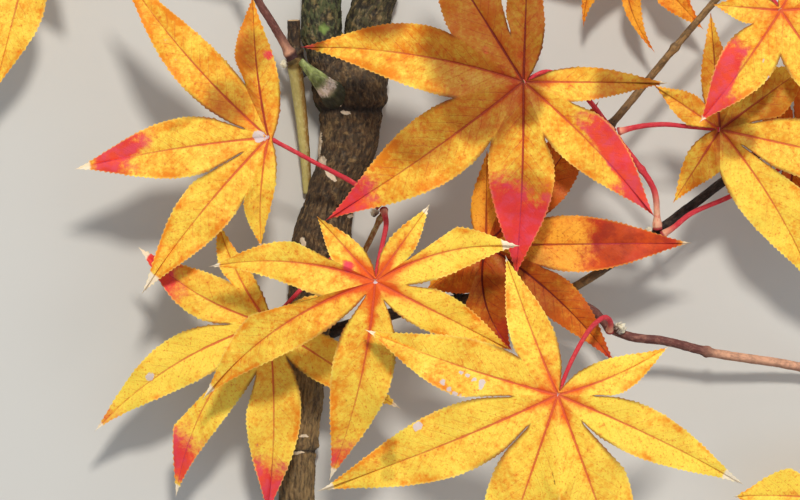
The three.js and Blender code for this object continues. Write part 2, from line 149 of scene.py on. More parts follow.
# The rule of a leaf blade, as in the solids
NOTCH_SHARE = 0.31
BASE_REACH = 1.1
NOTCH_CLEAR = 0.15
LOBE_ARCH = 0.1
LOBE_FOLD = 0.12
LOBE_DROOP = 1.5
SHOULDER_POWER = 1.3
SHOULDER_SHARE = 0.6
BELLY_POWER = 1.5
BELLY_PEAK = 0.186
# What the blade's fine shape adds to the rule, in millimetres and shares
ACROSS = np.array([0, 0.04, 0.1, 0.2, 0.33, 0.48, 0.64, 0.8, 0.92, 1.0])  # columns from midrib to margin
PALM_ROWS = 12
TOOTH_SIZES = (0.25, 1.5)
TOOTH_LEAN, TOOTH_ROOT = 0.7, 0.25  # shares of a tooth's depth that it leans forward and is cut back
GROOVE_HALF, KEEL_HALF = 0.45, 0.6
VEIN_CURVE, VEIN_STAGGER = 1.12, 0.45
MERGE_STEPS = 2000  # points in one cell of a grid with this many cells to a millimetre become one
FLUSH_REACH, RIB_FLUSH = 7, 1.3
WAVE_FULL_WIDTH = 4  # a lobe narrower than this has lower waves

# Leaves: hub, red flush round it, material slot, the route of the stalk and the lobes,
# counter-clockwise from the stalk: tip X, Y and Z, half width, sideways bow of the midrib and, where
# it isn't the usual one, the share at which the next notch lies
LEAVES = {
    "leaf_left": ((-33, 28.2, 32), 0.4, "gold_leaf", [
        (-5.6, 11.4, 23.9), (-10.5, 16, 25.4), (-22, 22.3, 28.5)], [
        (-36.8, 63.8, 36, 5.2, 1), (-71, 72, 35, 6.1, 2, 0.12), (-81.8, 20.2, 30, 7.6, -1, 0.15),
        (-64.8, -11, 29.5, 6.6, -1.2, 0.43), (-34.8, 0.6, 28, 3.6, -1)]),
    "leaf_upper": ((30.8, 42, 44), 0.55, "gold_leaf", [(53, 30.2, 27.6), (45, 40, 34), (37, 44.6, 40)], [
        (32, 77.4, 44, 4.9, 0), (6.3, 81, 43, 7.2, 0, 0.42), (-25, 50.8, 35, 7.6, -2.4),
        (-18.8, 7.3, 34, 8.7, 1), (29, -6.8, 35.5, 8.1, 0.6), (63.8, 8.3, 34, 6.9, 1.2),
        (67.3, 41.8, 38, 3.8, 0)]),
    "leaf_behind": ((21.6, 1.2, 27), 0.5, "orange_leaf", [
        (14.9, -9.2, 16.8), (11.6, -4.4, 19.6), (14.6, 0.6, 23)], [
        (6.6, -10.2, 24, 5, 0, 0.55), (28.1, -25.1, 21, 5.6, -3.6), (54, -28.6, 22, 5.2, 2.2),
        (73.3, 1.8, 25, 6.9, 0), (50, 37.5, 27, 6.6, -1.4), (21.8, 25, 30, 4, 0)]),
    "leaf_front": ((-6.2, -7.8, 46), 1.0, "gold_leaf", [
        (-4, 9.6, 23.2), (-3.5, 6.8, 27), (-4.2, 2.3, 34), (-5.5, -3.5, 41.4)], [
        (-20.8, 8.5, 42.5, 3.2, 0, 0.38), (-47.8, -4.2, 40, 5.2, -3), (-49.5, -37.5, 33, 7, -4, 0.08),
        (-17.8, -58, 31, 7.8, 2, 0.12), (28.2, -25.2, 41, 5.4, 0, 0.22), (30, 1, 44, 5.9, 3),
        (7.5, 11.5, 47, 3.2, 0)]),
    "leaf_low": ((-33, -18.5, 23), 0.35, "gold_leaf", [
        (-11, -0.2, 17.9), (-13.6, 0.4, 20.6), (-23, -8, 21.4)], [
        (-46, 8, 21, 3.3, 1.5, 0.42), (-65.8, 0.8, 23, 5.4, 2.6, 0.22), (-77, -45.8, 17, 6.4, -3.7, 0.2),
        (-56.5, -62.2, 15, 6.3, -4.5, 0.27), (-33.5, -67.5, 14, 7, 1.5, 0.22), (0.2, -40, 17, 5.6, 0),
        (-11, -10.6, 21, 3.2, 0)]),
    "leaf_lower": ((39.2, -36, 58), 0.62, "gold_leaf", [
        (52.8, -20, 18.6), (52.9, -18, 22.5), (51.3, -16.9, 26.8), (49, -18.4, 31), (46, -22, 39),
        (42.6, -28, 49)], [
        (26.2, -1.2, 54, 5.2, 0.5), (-8.8, -19.8, 51, 7.4, 1, 0.2), (-20.8, -60.2, 47, 8.6, 0.9, 0.17),
        (20, -92.5, 46, 9.2, 0, 0.45), (58.5, -88.5, 46, 9.4, 0, 0.17), (85.8, -58.5, 50, 6.4, 0.9, 0.22),
        (66.8, -24, 54, 4.7, -1.2)]),
    "leaf_right": ((80.2, 30.2, 32), 0.35, "gold_leaf", [
        (55.5, 29.9, 27.2), (60, 31, 28.4), (66.2, 31.5, 29.4), (73.8, 30.8, 30.4)], [
        (68.5, 11.8, 27, 3.7, 0), (104.5, -10, 25, 7.9, 1.9, 0.13), (134, 18.3, 29, 7.4, 0, 0.19),
        (103, 47, 34, 6.4, 0), (77.8, 59.5, 34, 3.6, 0), (63.8, 41.2, 32, 3.5, 0)]),
    "leaf_corner": ((95, 59.8, 46), 0.5, "gold_leaf", [(87, 70.9, 26.3), (89.4, 68.2, 34), (92, 64.4, 41)], [
        (78.2, 61.2, 45, 3.4, 0), (74.8, 31.8, 42, 6.6, 0.6), (117.6, 26.8, 42, 6.8, 0),
        (137, 63, 44, 6.6, 0), (106, 80, 45, 3.8, 0)]),
    "leaf_top": ((57, 77, 15), 0.5, "orange_leaf", [(84.1, 71.6, 23.2), (76, 73, 16.4), (66, 75.5, 13)], [
        (70, 88, 16, 4, 0), (57, 100, 16, 5.4, 0), (36, 90, 14, 5.8, 0), (33.5, 71, 13, 4.6, 0),
        (46.3, 56.3, 12, 1.7, -3), (64.3, 49.8, 11, 1.7, -3), (76.6, 55.6, 12, 4, 0)]),
    "leaf_far": ((-91.2, 81.2, 25), 0.4, "gold_leaf", [(-41.4, 74.2, 22.5), (-62, 79, 25)], [
        (-79, 95, 25, 3.6, 0), (-94.4, 117, 24, 6.4, 0), (-122.4, 112, 23, 7.4, 0),
        (-140, 88, 22, 7.8, 0), (-126, 57, 22, 7.4, 0), (-102, 39.5, 23, 7.2, 0), (-82, 66, 25, 3.4, 0)]),
    "leaf_floor": ((115, -64, 13), 0.4, "gold_leaf", [(121.6, -36.6, 2.6), (119, -50, 7.6)], [
        (106, -51.4, 13, 3.4, 0), (84.2, -62.2, 12, 7.4, -1), (87.6, -90, 9, 7, 0),
        (110, -101, 7, 7.4, 0), (136.4, -94.6, 7, 7, 0), (145, -69.2, 8, 6, 0), (126, -56, 12, 3.4, 0)]),
    "leaf_under": ((99.2, 22.5, 18), 0.4, "orange_leaf", [
        (66.6, 4.2, 20.4), (69, 5.8, 21), (73, 9, 20), (83.8, 13.8, 16.8)], [
        (97.6, 10.6, 17, 3, 0), (118, 4.8, 14, 5.4, 0), (134.6, 16.2, 12, 6.2, 0),
        (134, 42, 12, 6.4, 0), (110, 52.6, 15, 5.6, 0), (91.6, 42.6, 18, 4, 0), (88.4, 27.5, 19, 2.8, 0)]),
}
# Tints of each lobe: amber and painted shade on its right and left side, where a value below zero
# paints the lobe yellower as painted light, then where it has them the shares at which red starts on
# its right and left side, the share at which the red ends, and the share from which the tip is dry and
# pale. A row of three has the dry tip alone, and a row of five has red that runs into it.
TINTS = {
    "leaf_left": [(0.55, 0.78, 0.97), (0.5, 0.58), (0.2, 0.35, 0.63, 0.74, 0.9, 0.91), (0.2, 0.3, 0.88),
                  (0.3, 0.15, 0.96)],
    "leaf_upper": [(0.7, 0.7), (0.75, 0.7), (0.55, 0.45, 0.96, 0.96), (0.6, 0.45, 0.76, 0.8),
                   (0.7, 0.6, 0.5, 0.58), (0.4, 0.4, 0.76, 0.38), (0.55, 0.5, 0.93)],
    "leaf_behind": [(0.05, 0.8), (0.85, 0.95, 0.8, 0.72), (0.85, 0.95, 0.86, 0.9),
                    (0.15, 0.15, 0.5, 0.5, 0.95, 0.95), (0.95, 0.95), (0.2, 0.1)],
    "leaf_front": [(0.3, 0.3), (0.25, 0.3, 0.93), (0.3, 0.4, 0.92), (0.35, 0.2, 0.83, 0.83, 0.925, 0.925),
                   (0.05, 0.05, 0.97), (-0.2, -0.1, 0.88), (0.1, 0.1, 0.88)],
    "leaf_low": [(0.2, 0.2, 0.96), (0.25, 0.2, 0.7, 0.62, 0.97, 0.905), (-0.3, -0.2, 0.9, 0.9, 0.95, 0.94),
                 (-0.05, 0.0, 0.71, 0.73, 0.93, 0.935), (0.2, 0.12, 0.72, 0.76), (0.2, 0.15, 0.93),
                 (0.3, 0.3)],
    "leaf_lower": [(0.25, 0.2, 0.95), (0.15, 0.25, 0.94), (0.1, 0.1, 0.925), (0.15, 0.15, 0.95),
                   (0.1, 0.15, 0.9, 0.86), (-0.15, -0.05, 0.88), (0.0, 0.0, 0.96)],
    "leaf_right": [(0.5, 0.6), (0.2, 0.25, 0.96), (0.3, 0.3, 0.8, 0.84), (0.6, 0.5, 0.96), (0.7, 0.6),
                   (0.5, 0.4)],
    "leaf_corner": [(0.5, 0.5), (0.4, 0.35, 0.38, 0.72, 0.94), (0.45, 0.35, 0.9, 0.86), (0.3, 0.3, 0.95),
                    (0.3, 0.3)],
    "leaf_top": [(0.35, 0.4)] * 7,
    "leaf_far": [(0.3, 0.3, 0.96), (0.2, 0.25, 0.95), (0.25, 0.2, 0.78, 0.72, 0.93, 0.94), (0.3, 0.25, 0.95),
                 (0.2, 0.2, 0.86, 0.9), (0.15, 0.2, 0.97), (0.3, 0.3)],
    "leaf_floor": [(0.3, 0.3), (0.1, 0.15, 0.96), (0.2, 0.2, 0.8, 0.76), (0.2, 0.25, 0.95),
                   (0.25, 0.2, 0.95), (0.3, 0.3, 0.85, 0.8), (0.3, 0.3)],
    "leaf_under": [(0.8, 0.8, 0.7, 0.7)] * 7,
}
NO_TINT = 2.0  # a share past the tip, for a tint that a lobe doesn't have
# Marks on a blade: middle X and Y, radius, and how much each is scar, blot and blush
MARKS = {
    "leaf_left": [(-35.4, 28.6, 2.0, 1, 0, 0), (-33.4, 28.2, 0.9, 1, 0, 0), (-32.9, 48.8, 1.6, 0, 0, 0.85),
                  (-58.4, 52.8, 1.0, 0.5, 0, 0), (-56.5, 48, 1.1, 0.5, 0, 0)],
    "leaf_upper": [(30.8, 42, 0.7, 0, 1, 0), (22, 49.8, 1.5, 0, 0, 0.6)],
    "leaf_front": [(-6.1, -7.9, 0.6, 0.65, 0, 0), (-12.8, -4.2, 1.9, 0, 0, 0.9),
                   (-6.5, -14.8, 0.6, 0.7, 0, 0), (-13.5, -37.5, 0.8, 0, 0.6, 0),
                   (-47.6, -36, 1.3, 0.75, 0, 0.3)],
    "leaf_low": [(-63, -31.8, 1.3, 0.9, 0, 0.3), (-40, -15, 1.0, 0, 0.4, 0)],
    "leaf_lower": [(39.2, -36, 0.7, 0.75, 0, 0), (15.2, -30.7, 0.8, 0.8, 0, 0),
                   (16.9, -31.1, 0.9, 0.85, 0, 0), (18.6, -32.1, 0.9, 0.9, 0, 0),
                   (20.3, -33, 1.1, 1, 0, 0), (20, -34.6, 0.8, 0.8, 0, 0),
                   (10.6, -32.9, 1.3, 0.9, 0, 0), (12.2, -34.6, 1.1, 0.75, 0, 0),
                   (13.6, -35.9, 1.2, 0.9, 0, 0), (15.4, -36.6, 0.9, 0.8, 0, 0),
                   (4.4, -44, 1.5, 1, 0, 0), (28, -26.2, 1.4, 0, 0.5, 0),
                   (38.4, -51.5, 0.7, 0, 0.55, 0), (38.2, -54.6, 0.7, 0, 0.5, 0),
                   (38, -58, 0.8, 0, 0.55, 0)],
    "leaf_corner": [(90.8, 47, 0.9, 0.6, 0, 0), (91.8, 42.5, 1.0, 0.6, 0, 0)],
    "leaf_behind": [(47, 10.4, 0.9, 0, 0.8, 0)],
}
# Painted shadows on a blade, cast by other leaves and stalks: middle X and Y, radius and
# strength of each soft patch
PAINTED_SHADOWS = {
    "leaf_upper": [(22.5, 51.2, 18.5, 1.0), (5.5, 30.5, 11.5, 0.5), (19, 36, 11, 0.75), (30.5, 37, 7, 0.8),
                   (56.2, 41.2, 9, 0.7), (-5, 61.2, 9.5, 0.8), (-22.5, 52, 4, 0.8), (31, 14, 8, 0.3)],
    "leaf_behind": [(53.5, 2.5, 6.5, 0.9), (30, -8, 12, 0.6)],
    "leaf_left": [(-43, 37.5, 6.5, 0.5), (-35.5, 50, 6, 0.35), (-56.8, 30.4, 1.4, 0.4),
                  (-55, 31.6, 1.4, 0.4), (-53, 32.4, 1.3, 0.35), (-36.2, 10, 1.4, 0.4),
                  (-34.9, 13, 1.4, 0.4), (-33.4, 16, 1.3, 0.35)],
    "leaf_right": [(84, 28, 6.5, 0.75), (76, 21, 8, 0.45), (92, 39, 9, 0.4), (77, 46, 9, 0.4),
                   (71, 37, 7, 0.35)],
    "leaf_lower": [(-2.8, -48, 2.4, 0.5), (-2.8, -52, 2.4, 0.55), (-3, -56, 2.4, 0.5)],
}

# Colours of the woods, with the breadth of their grain, and of the leaves
BARKS = {
    "bark": {"Dark": "1a1310", "Main": "483422", "Light": "967a4e", "Second": "4a5030", "Scar": "dccab0",
             "Grain Size": 0.00065, "Mottle": 0.75, "Crevice Depth": 0.75},
    "green_bark": {"Dark": "241e16", "Main": "84904e", "Light": "b8c088", "Second": "dcc0aa",
                   "Scar": "ead9cc",
                   "Grain Size": 0.0006, "Mottle": 0.45, "Crevice Depth": 0.35},
    # Flank and Flank Colour paint one side of these twigs in shade
    "olive_bark": {"Dark": "6a5020", "Main": "c6b970", "Light": "d8ce94", "Second": "96603a",
                   "Scar": "c9b48c",
                   "Grain Size": 0.0005, "Mottle": 0.1, "Flank": 0.9, "Flank Colour": "96641e",
                   "Flank Side": -1.0, "Crevice Depth": 0.1},
    "red_bark": {"Dark": "34181a", "Main": "6e3e38", "Light": "a4705e", "Second": "e2aa88", "Scar": "efd2c0",
                 "Grain Size": 0.0005, "Mottle": 0.25, "Flank": 0.5, "Flank Colour": "4a2a22",
                 "Crevice Depth": 0.15},
    "dark_bark": {"Dark": "100b0b", "Main": "2c1f1a", "Light": "5c4638", "Second": "9a7648",
                  "Scar": "a88a74",
                  "Grain Size": 0.0006, "Mottle": 0.4, "Crevice Depth": 0.4},
    "stalk": {"Dark": "8c1c2c", "Main": "d02e3e", "Light": "e45c56", "Second": "f0bc98", "Scar": "eeb0a0",
              "Grain Size": 0.0006, "Mottle": 0.15, "Crevice Depth": 0.1},
    "bud": {"Dark": "3a2018", "Main": "e2dabc", "Light": "f6f2e4", "Second": "4a2a20", "Scar": "f4efe0",
            "Grain Size": 0.0005, "Mottle": 0.2, "Crevice Depth": 0.0},
}
# The amber shade colour of each leaf paint is what painted shade multiplies the leaf's colour by
LEAF_PAINTS = {
    "gold_leaf": {"Gold": "ffdc50", "Orange": "f28c1c", "Amber": "ab947c", "Red": "ea3c3c", "Vein": "d65636",
                  "Pale": "fbe9cc", "Edge": "ffe678", "Flame": "f24e34", "Rose": "e4506a"},
    "orange_leaf": {"Gold": "ffb438", "Orange": "e06a18", "Amber": "c0bcc0", "Red": "c83c1c",
                    "Vein": "962a1c",
                    "Pale": "f4dcb8", "Edge": "f4b850", "Flame": "d8501c", "Rose": "a83420"},
}
FLUSH_RED, OLD_VEIN, ROSE_VEIN = "e84612", "8e2c20", "c23a5c"
SLIT_EDGE_SHADE, BLOT_BROWN, SCAR_PALE, BACK_PALE = "7c3414", "5a3418", "d8cacb", "e8c07a"
MOSS_GREEN, WOOD_LIGHT, WOOD_RING, WOOD_HEART = "86a050", "d9b98c", "b98f5f", "8a6238"


def source_shift():
    """How far the source moved the branch to put the origin under the middle of its box."""
    low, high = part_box("bud_left")
    middle = (np.array(low) + np.array(high)) / 2
    return middle - MM * np.array(BUDS["bud_left"][0])


SHIFT = source_shift()


def linear(code):
    """A colour written as six hex digits, as the shader's own values."""
    parts = [int(code[i:i + 2], 16) / 255 for i in (0, 2, 4)]
    return tuple(c / 12.92 if c <= 0.04045 else ((c + 0.055) / 1.055) ** 2.4 for c in parts)


def smooth(low, high, value):
    """Rises smoothly from 0 at low to 1 at high."""
    share = np.clip((value - low) / (high - low), 0, 1)
    return share * share * (3 - 2 * share)


def bell(value, half):
    return np.exp(-((value / half) ** 2))


def through(points, places):
    """Places on a smooth curve through the points, where a whole number is a point's own place."""
    points = np.array(points, dtype=float)
    ends = [2 * points[0] - points[1], 2 * points[-1] - points[-2]]
    points = np.vstack([ends[:1], points, ends[1:]])
    below = np.clip(np.floor(places).astype(int), 0, len(points) - 4)
    share = (places - below)[:, None]
    p0, p1, p2, p3 = (points[below + i] for i in range(4))
    gaps = [np.linalg.norm(b - a, axis=1)[:, None] ** 0.5 for a, b in ((p0, p1), (p1, p2), (p2, p3))]
    out1 = gaps[1] * ((p1 - p0) / gaps[0] - (p2 - p0) / (gaps[0] + gaps[1]) + (p2 - p1) / gaps[1])
    out2 = gaps[1] * ((p2 - p1) / gaps[1] - (p3 - p1) / (gaps[1] + gaps[2]) + (p3 - p2) / gaps[2])
    cubed, squared = share ** 3, share ** 2
    return (p1 * (2 * cubed - 3 * squared + 1) + out1 * (cubed - 2 * squared + share)
            + p2 * (3 * squared - 2 * cubed) + out2 * (cubed - squared))


def even_path(points, step):
    """Evenly spaced places along the smooth curve through the points."""
    fine = through(points, np.linspace(0, len(points) - 1, 60 * (len(points) - 1) + 1))
    runs = np.concatenate([[0], np.cumsum(np.linalg.norm(np.diff(fine, axis=0), axis=1))])
    stations = np.linspace(0, runs[-1], max(4, round(runs[-1] / step)) + 1)
    return np.column_stack([np.interp(stations, runs, fine[:, i]) for i in range(3)]), stations


class Wire:
    """An output of a node. Sums and products of wires and numbers lay the nodes that work them out."""

    def __init__(self, graph, socket):
        self.graph, self.socket = graph, socket

    def __add__(self, other):
        return self.graph.math("ADD", self, other)

    def __sub__(self, other):
        return self.graph.math("SUBTRACT", self, other)

    def __rsub__(self, other):
        return self.graph.math("SUBTRACT", other, self)

    def __mul__(self, other):
        return self.graph.math("MULTIPLY", self, other)

    def __truediv__(self, other):
        return self.graph.math("DIVIDE", self, other)

    def __rtruediv__(self, other):
        return self.graph.math("DIVIDE", other, self)

    def __abs__(self):
        return self.graph.math("ABSOLUTE", self)

    def rise(self, low, high, start=0.0, end=1.0):
        """Goes smoothly from start to end while this goes from low to high."""
        inputs = {"Value": self, "From Min": low, "From Max": high, "To Min": start, "To Max": end}
        return self.graph.add("ShaderNodeMapRange", inputs, interpolation_type="SMOOTHSTEP")

    def mix(self, first, second):
        """The first colour where this is 0, and the second where it is 1."""
        return self.graph.add("ShaderNodeMix", {0: self, 6: first, 7: second}, 2, data_type="RGBA")

    def scaled(self, factor):
        return self.graph.add("ShaderNodeVectorMath", {"Vector": self, "Scale": factor}, operation="SCALE")

    def split(self):
        node = self.graph.node("ShaderNodeSeparateXYZ", {0: self})
        return [Wire(self.graph, socket) for socket in node.outputs]


class Graph:
    """Adds nodes to a tree and links them, with each input given by its name or number."""

    def __init__(self, tree):
        self.tree = tree

    def node(self, kind, inputs, **settings):
        node = self.tree.nodes.new(kind)
        for name, value in settings.items():
            setattr(node, name, value)
        for key, value in inputs.items():
            socket = node.inputs[key]
            if isinstance(value, Wire):
                self.tree.links.new(value.socket, socket)
            elif isinstance(value, tuple) and len(value) < len(socket.default_value):
                socket.default_value = (*value, 1.0)
            else:
                socket.default_value = value
        return node

    def add(self, kind, inputs=None, output=0, **settings):
        return Wire(self, self.node(kind, inputs or {}, **settings).outputs[output])

    def math(self, operation, *values, clamp=False):
        return self.add("ShaderNodeMath", dict(enumerate(values)), operation=operation, use_clamp=clamp)

    def noise(self, vector, scale, detail=2.0, rough=0.5, warp=0.0):
        return self.add("ShaderNodeTexNoise", {"Vector": vector, "Scale": scale, "Detail": detail,
                                               "Roughness": rough, "Distortion": warp})

    def join(self, x, y, z):
        return self.add("ShaderNodeCombineXYZ", {0: x, 1: y, 2: z})

    def read(self, name, output="Fac"):
        """A value that a mesh carries, for a material."""
        return self.add("ShaderNodeAttribute", None, output, attribute_name=name)

    def carried(self, name, kind="FLOAT"):
        """A value that a mesh carries, for a shape."""
        return self.add("GeometryNodeInputNamedAttribute", {"Name": name}, "Attribute", data_type=kind)

    def store(self, geometry, name, value, kind="FLOAT"):
        inputs = {"Geometry": geometry, "Name": name, "Value": value}
        return self.add("GeometryNodeStoreNamedAttribute", inputs, data_type=kind, domain="POINT")


SOCKET_KINDS = {float: "Float", int: "Int", tuple: "Color"}


def new_tree(name, kind, inputs, outputs):
    """A node tree or group with named inputs, each with its default, and named outputs of given kinds."""
    tree = bpy.data.node_groups.new(name, kind)
    for label, default in inputs.items():
        word = label if default is None else SOCKET_KINDS[type(default)]
        socket = tree.interface.new_socket(name=label, in_out="INPUT", socket_type=f"NodeSocket{word}")
        if default is not None:
            socket.default_value = default
    for label, word in outputs.items():
        tree.interface.new_socket(name=label, in_out="OUTPUT", socket_type=f"NodeSocket{word}")
    graph = Graph(tree)
    sockets = graph.node("NodeGroupInput", {}).outputs
    return tree, graph, {label: Wire(graph, sockets[label]) for label in inputs}


def new_object(name, mesh):
    item = bpy.data.objects.new(name, mesh)
    bpy.context.scene.collection.objects.link(item)
    return item


def mesh_of(name, points, faces, edges=()):
    """A mesh from places in source millimetres."""
    mesh = bpy.data.meshes.new(name)
    mesh.from_pydata((np.array(points) * MM + SHIFT).tolist(), list(edges), faces)
    mesh.update()
    return mesh


def put_values(mesh, kind="FLOAT", **values):
    """Gives each point of the mesh its named values."""
    key = "vector" if kind == "FLOAT_VECTOR" else "value"
    for name, numbers in values.items():
        layer = mesh.attributes.new(name, kind, "POINT")
        layer.data.foreach_set(key, np.ascontiguousarray(numbers, dtype=np.float32).ravel())


def quads_of(ids):
    """The faces between the points of a grid, each with its four corners."""
    return np.stack([ids[:-1, :-1], ids[1:, :-1], ids[1:, 1:], ids[:-1, 1:]], axis=-1).reshape(-1, 4)


def run_tree(item, tree, values):
    """Puts the tree on the object, sets its inputs and turns the result into a plain mesh."""
    modifier = item.modifiers.new("Shape", "NODES")
    modifier.node_group = tree
    keys = {socket.name: socket.identifier for socket in tree.interface.items_tree
            if socket.item_type == "SOCKET" and socket.in_out == "INPUT"}
    for label, value in values.items():
        modifier[keys[label]] = value
    held = bpy.context.evaluated_depsgraph_get()
    mesh = bpy.data.meshes.new_from_object(item.evaluated_get(held))
    item.modifiers.clear()
    old = item.data
    item.data = mesh
    mesh.name = item.name
    bpy.data.meshes.remove(old)
    if not mesh.polygons:
        raise RuntimeError(f"{item.name} came out with no faces")


def finish_piece(item, node, edge_angle):
    """Ties a finished piece to the frame in place of its CAD node."""
    item.data.set_sharp_from_angle(angle=math.radians(edge_angle))
    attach(item, "root")
    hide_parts(node)


SHAPE = {"Geometry": "Geometry"}
RELIEF = {"Ridge Height": 0.0003, "Ridge Size": 0.001, "Ridge Stretch": 4.0, "Lump Height": 0.0003,
          "Lump Size": 0.004, "Seed": 0.0}


def end_tree(graph, geometry, material):
    """Ends a tree with smooth faces, realized instances and the material."""
    shaded = graph.add("GeometryNodeSetShadeSmooth", {"Geometry": geometry, "Shade Smooth": True})
    real = graph.add("GeometryNodeRealizeInstances", {"Geometry": shaded})
    painted = graph.add("GeometryNodeSetMaterial", {"Geometry": real, "Material": material})
    graph.node("NodeGroupOutput", {0: painted})


def bark_relief_group():
    """Group that pushes a surface in and out along its normals into ridges, furrows and lumps."""
    tree, graph, given = new_tree("Bark relief", "GeometryNodeTree", {"Geometry": None, **RELIEF}, SHAPE)
    x, y, along = graph.carried("Bark", "FLOAT_VECTOR").split()
    along = along + given["Seed"]
    ridges = graph.join(x, y, along / given["Ridge Stretch"]).scaled(1.0 / given["Ridge Size"])
    ridges = graph.noise(ridges, 1.0, 4.0, 0.6, 0.6).rise(0.32, 0.66)
    lumps = graph.noise(graph.join(x, y, along).scaled(1.0 / given["Lump Size"]), 1.0)
    height = (ridges - 0.6) * given["Ridge Height"] + (lumps - 0.5) * given["Lump Height"]
    height = height * (1.0 - graph.carried("Cut"))
    offset = graph.add("GeometryNodeInputNormal").scaled(height)
    moved = graph.add("GeometryNodeSetPosition", {"Geometry": given["Geometry"], "Offset": offset})
    graph.node("NodeGroupOutput", {0: graph.store(moved, "Crevice", 1.0 - ridges)})
    return tree


def end_with_relief(graph, geometry, given):
    """Ends a tree with the relief of bark."""
    group = bpy.data.node_groups.get("Bark relief") or bark_relief_group()
    inputs = {"Geometry": geometry, **{label: given[label] for label in RELIEF}}
    end_tree(graph, graph.add("GeometryNodeGroup", inputs, node_tree=group), given["Material"])


def limb_tree():
    """Tree that gives the limb or a fork its rough bark."""
    inputs = {"Geometry": None, **RELIEF, "Material": None}
    tree, graph, given = new_tree("Limb bark", "GeometryNodeTree", inputs, SHAPE)
    end_with_relief(graph, given["Geometry"], given)
    return tree


def twig_tree():
    """Tree that turns a line of points into a twig or stalk with bark, as thick as each point says."""
    inputs = {"Geometry": None, "Sides": 16, **RELIEF, "Material": None}
    tree, graph, given = new_tree("Twig tube", "GeometryNodeTree", inputs, SHAPE)
    line = graph.add("GeometryNodeMeshToCurve", {"Mesh": given["Geometry"]})
    line = graph.store(line, "Along", graph.add("GeometryNodeSplineParameter", None, "Length"))
    ring = graph.add("GeometryNodeCurvePrimitiveCircle", {"Resolution": given["Sides"], "Radius": 1.0})
    ring = graph.store(ring, "Around", graph.add("GeometryNodeInputPosition"), "FLOAT_VECTOR")
    girth = graph.carried("Girth")
    tube = graph.add("GeometryNodeCurveToMesh", {"Curve": line, "Profile Curve": ring, "Scale": girth,
                                                 "Fill Caps": True})
    x, y, _ = graph.carried("Around", "FLOAT_VECTOR").scaled(girth).split()
    place = graph.join(x, y, graph.carried("Along"))
    end_with_relief(graph, graph.store(tube, "Bark", place, "FLOAT_VECTOR"), given)
    return tree


def blade_tree():
    """Tree that ripples a flat-lying leaf blade gently, less at its hub."""
    inputs = {"Geometry": None, "Ripple Height": 0.0005, "Ripple Size": 0.009, "Crinkle Height": 0.0001,
              "Crinkle Size": 0.0025, "Seed": 0.0, "Material": None}
    tree, graph, given = new_tree("Blade ripple", "GeometryNodeTree", inputs, SHAPE)
    x, y, _ = graph.add("GeometryNodeInputPosition").split()
    flat = graph.join(x, y, given["Seed"])
    ripple, crinkle = ((graph.noise(flat.scaled(1.0 / given[f"{word} Size"]), 1.0) - 0.5)
                       * (given[f"{word} Height"] * 2.0) for word in ("Ripple", "Crinkle"))
    offset = graph.join(0.0, 0.0, (ripple + crinkle) * graph.carried("Loose"))
    moved = graph.add("GeometryNodeSetPosition", {"Geometry": given["Geometry"], "Offset": offset})
    end_tree(graph, moved, given["Material"])
    return tree


PAINT = {"Color": "Color", "Roughness": "Float", "Height": "Float"}
GREY = (0.5, 0.5, 0.5, 1.0)


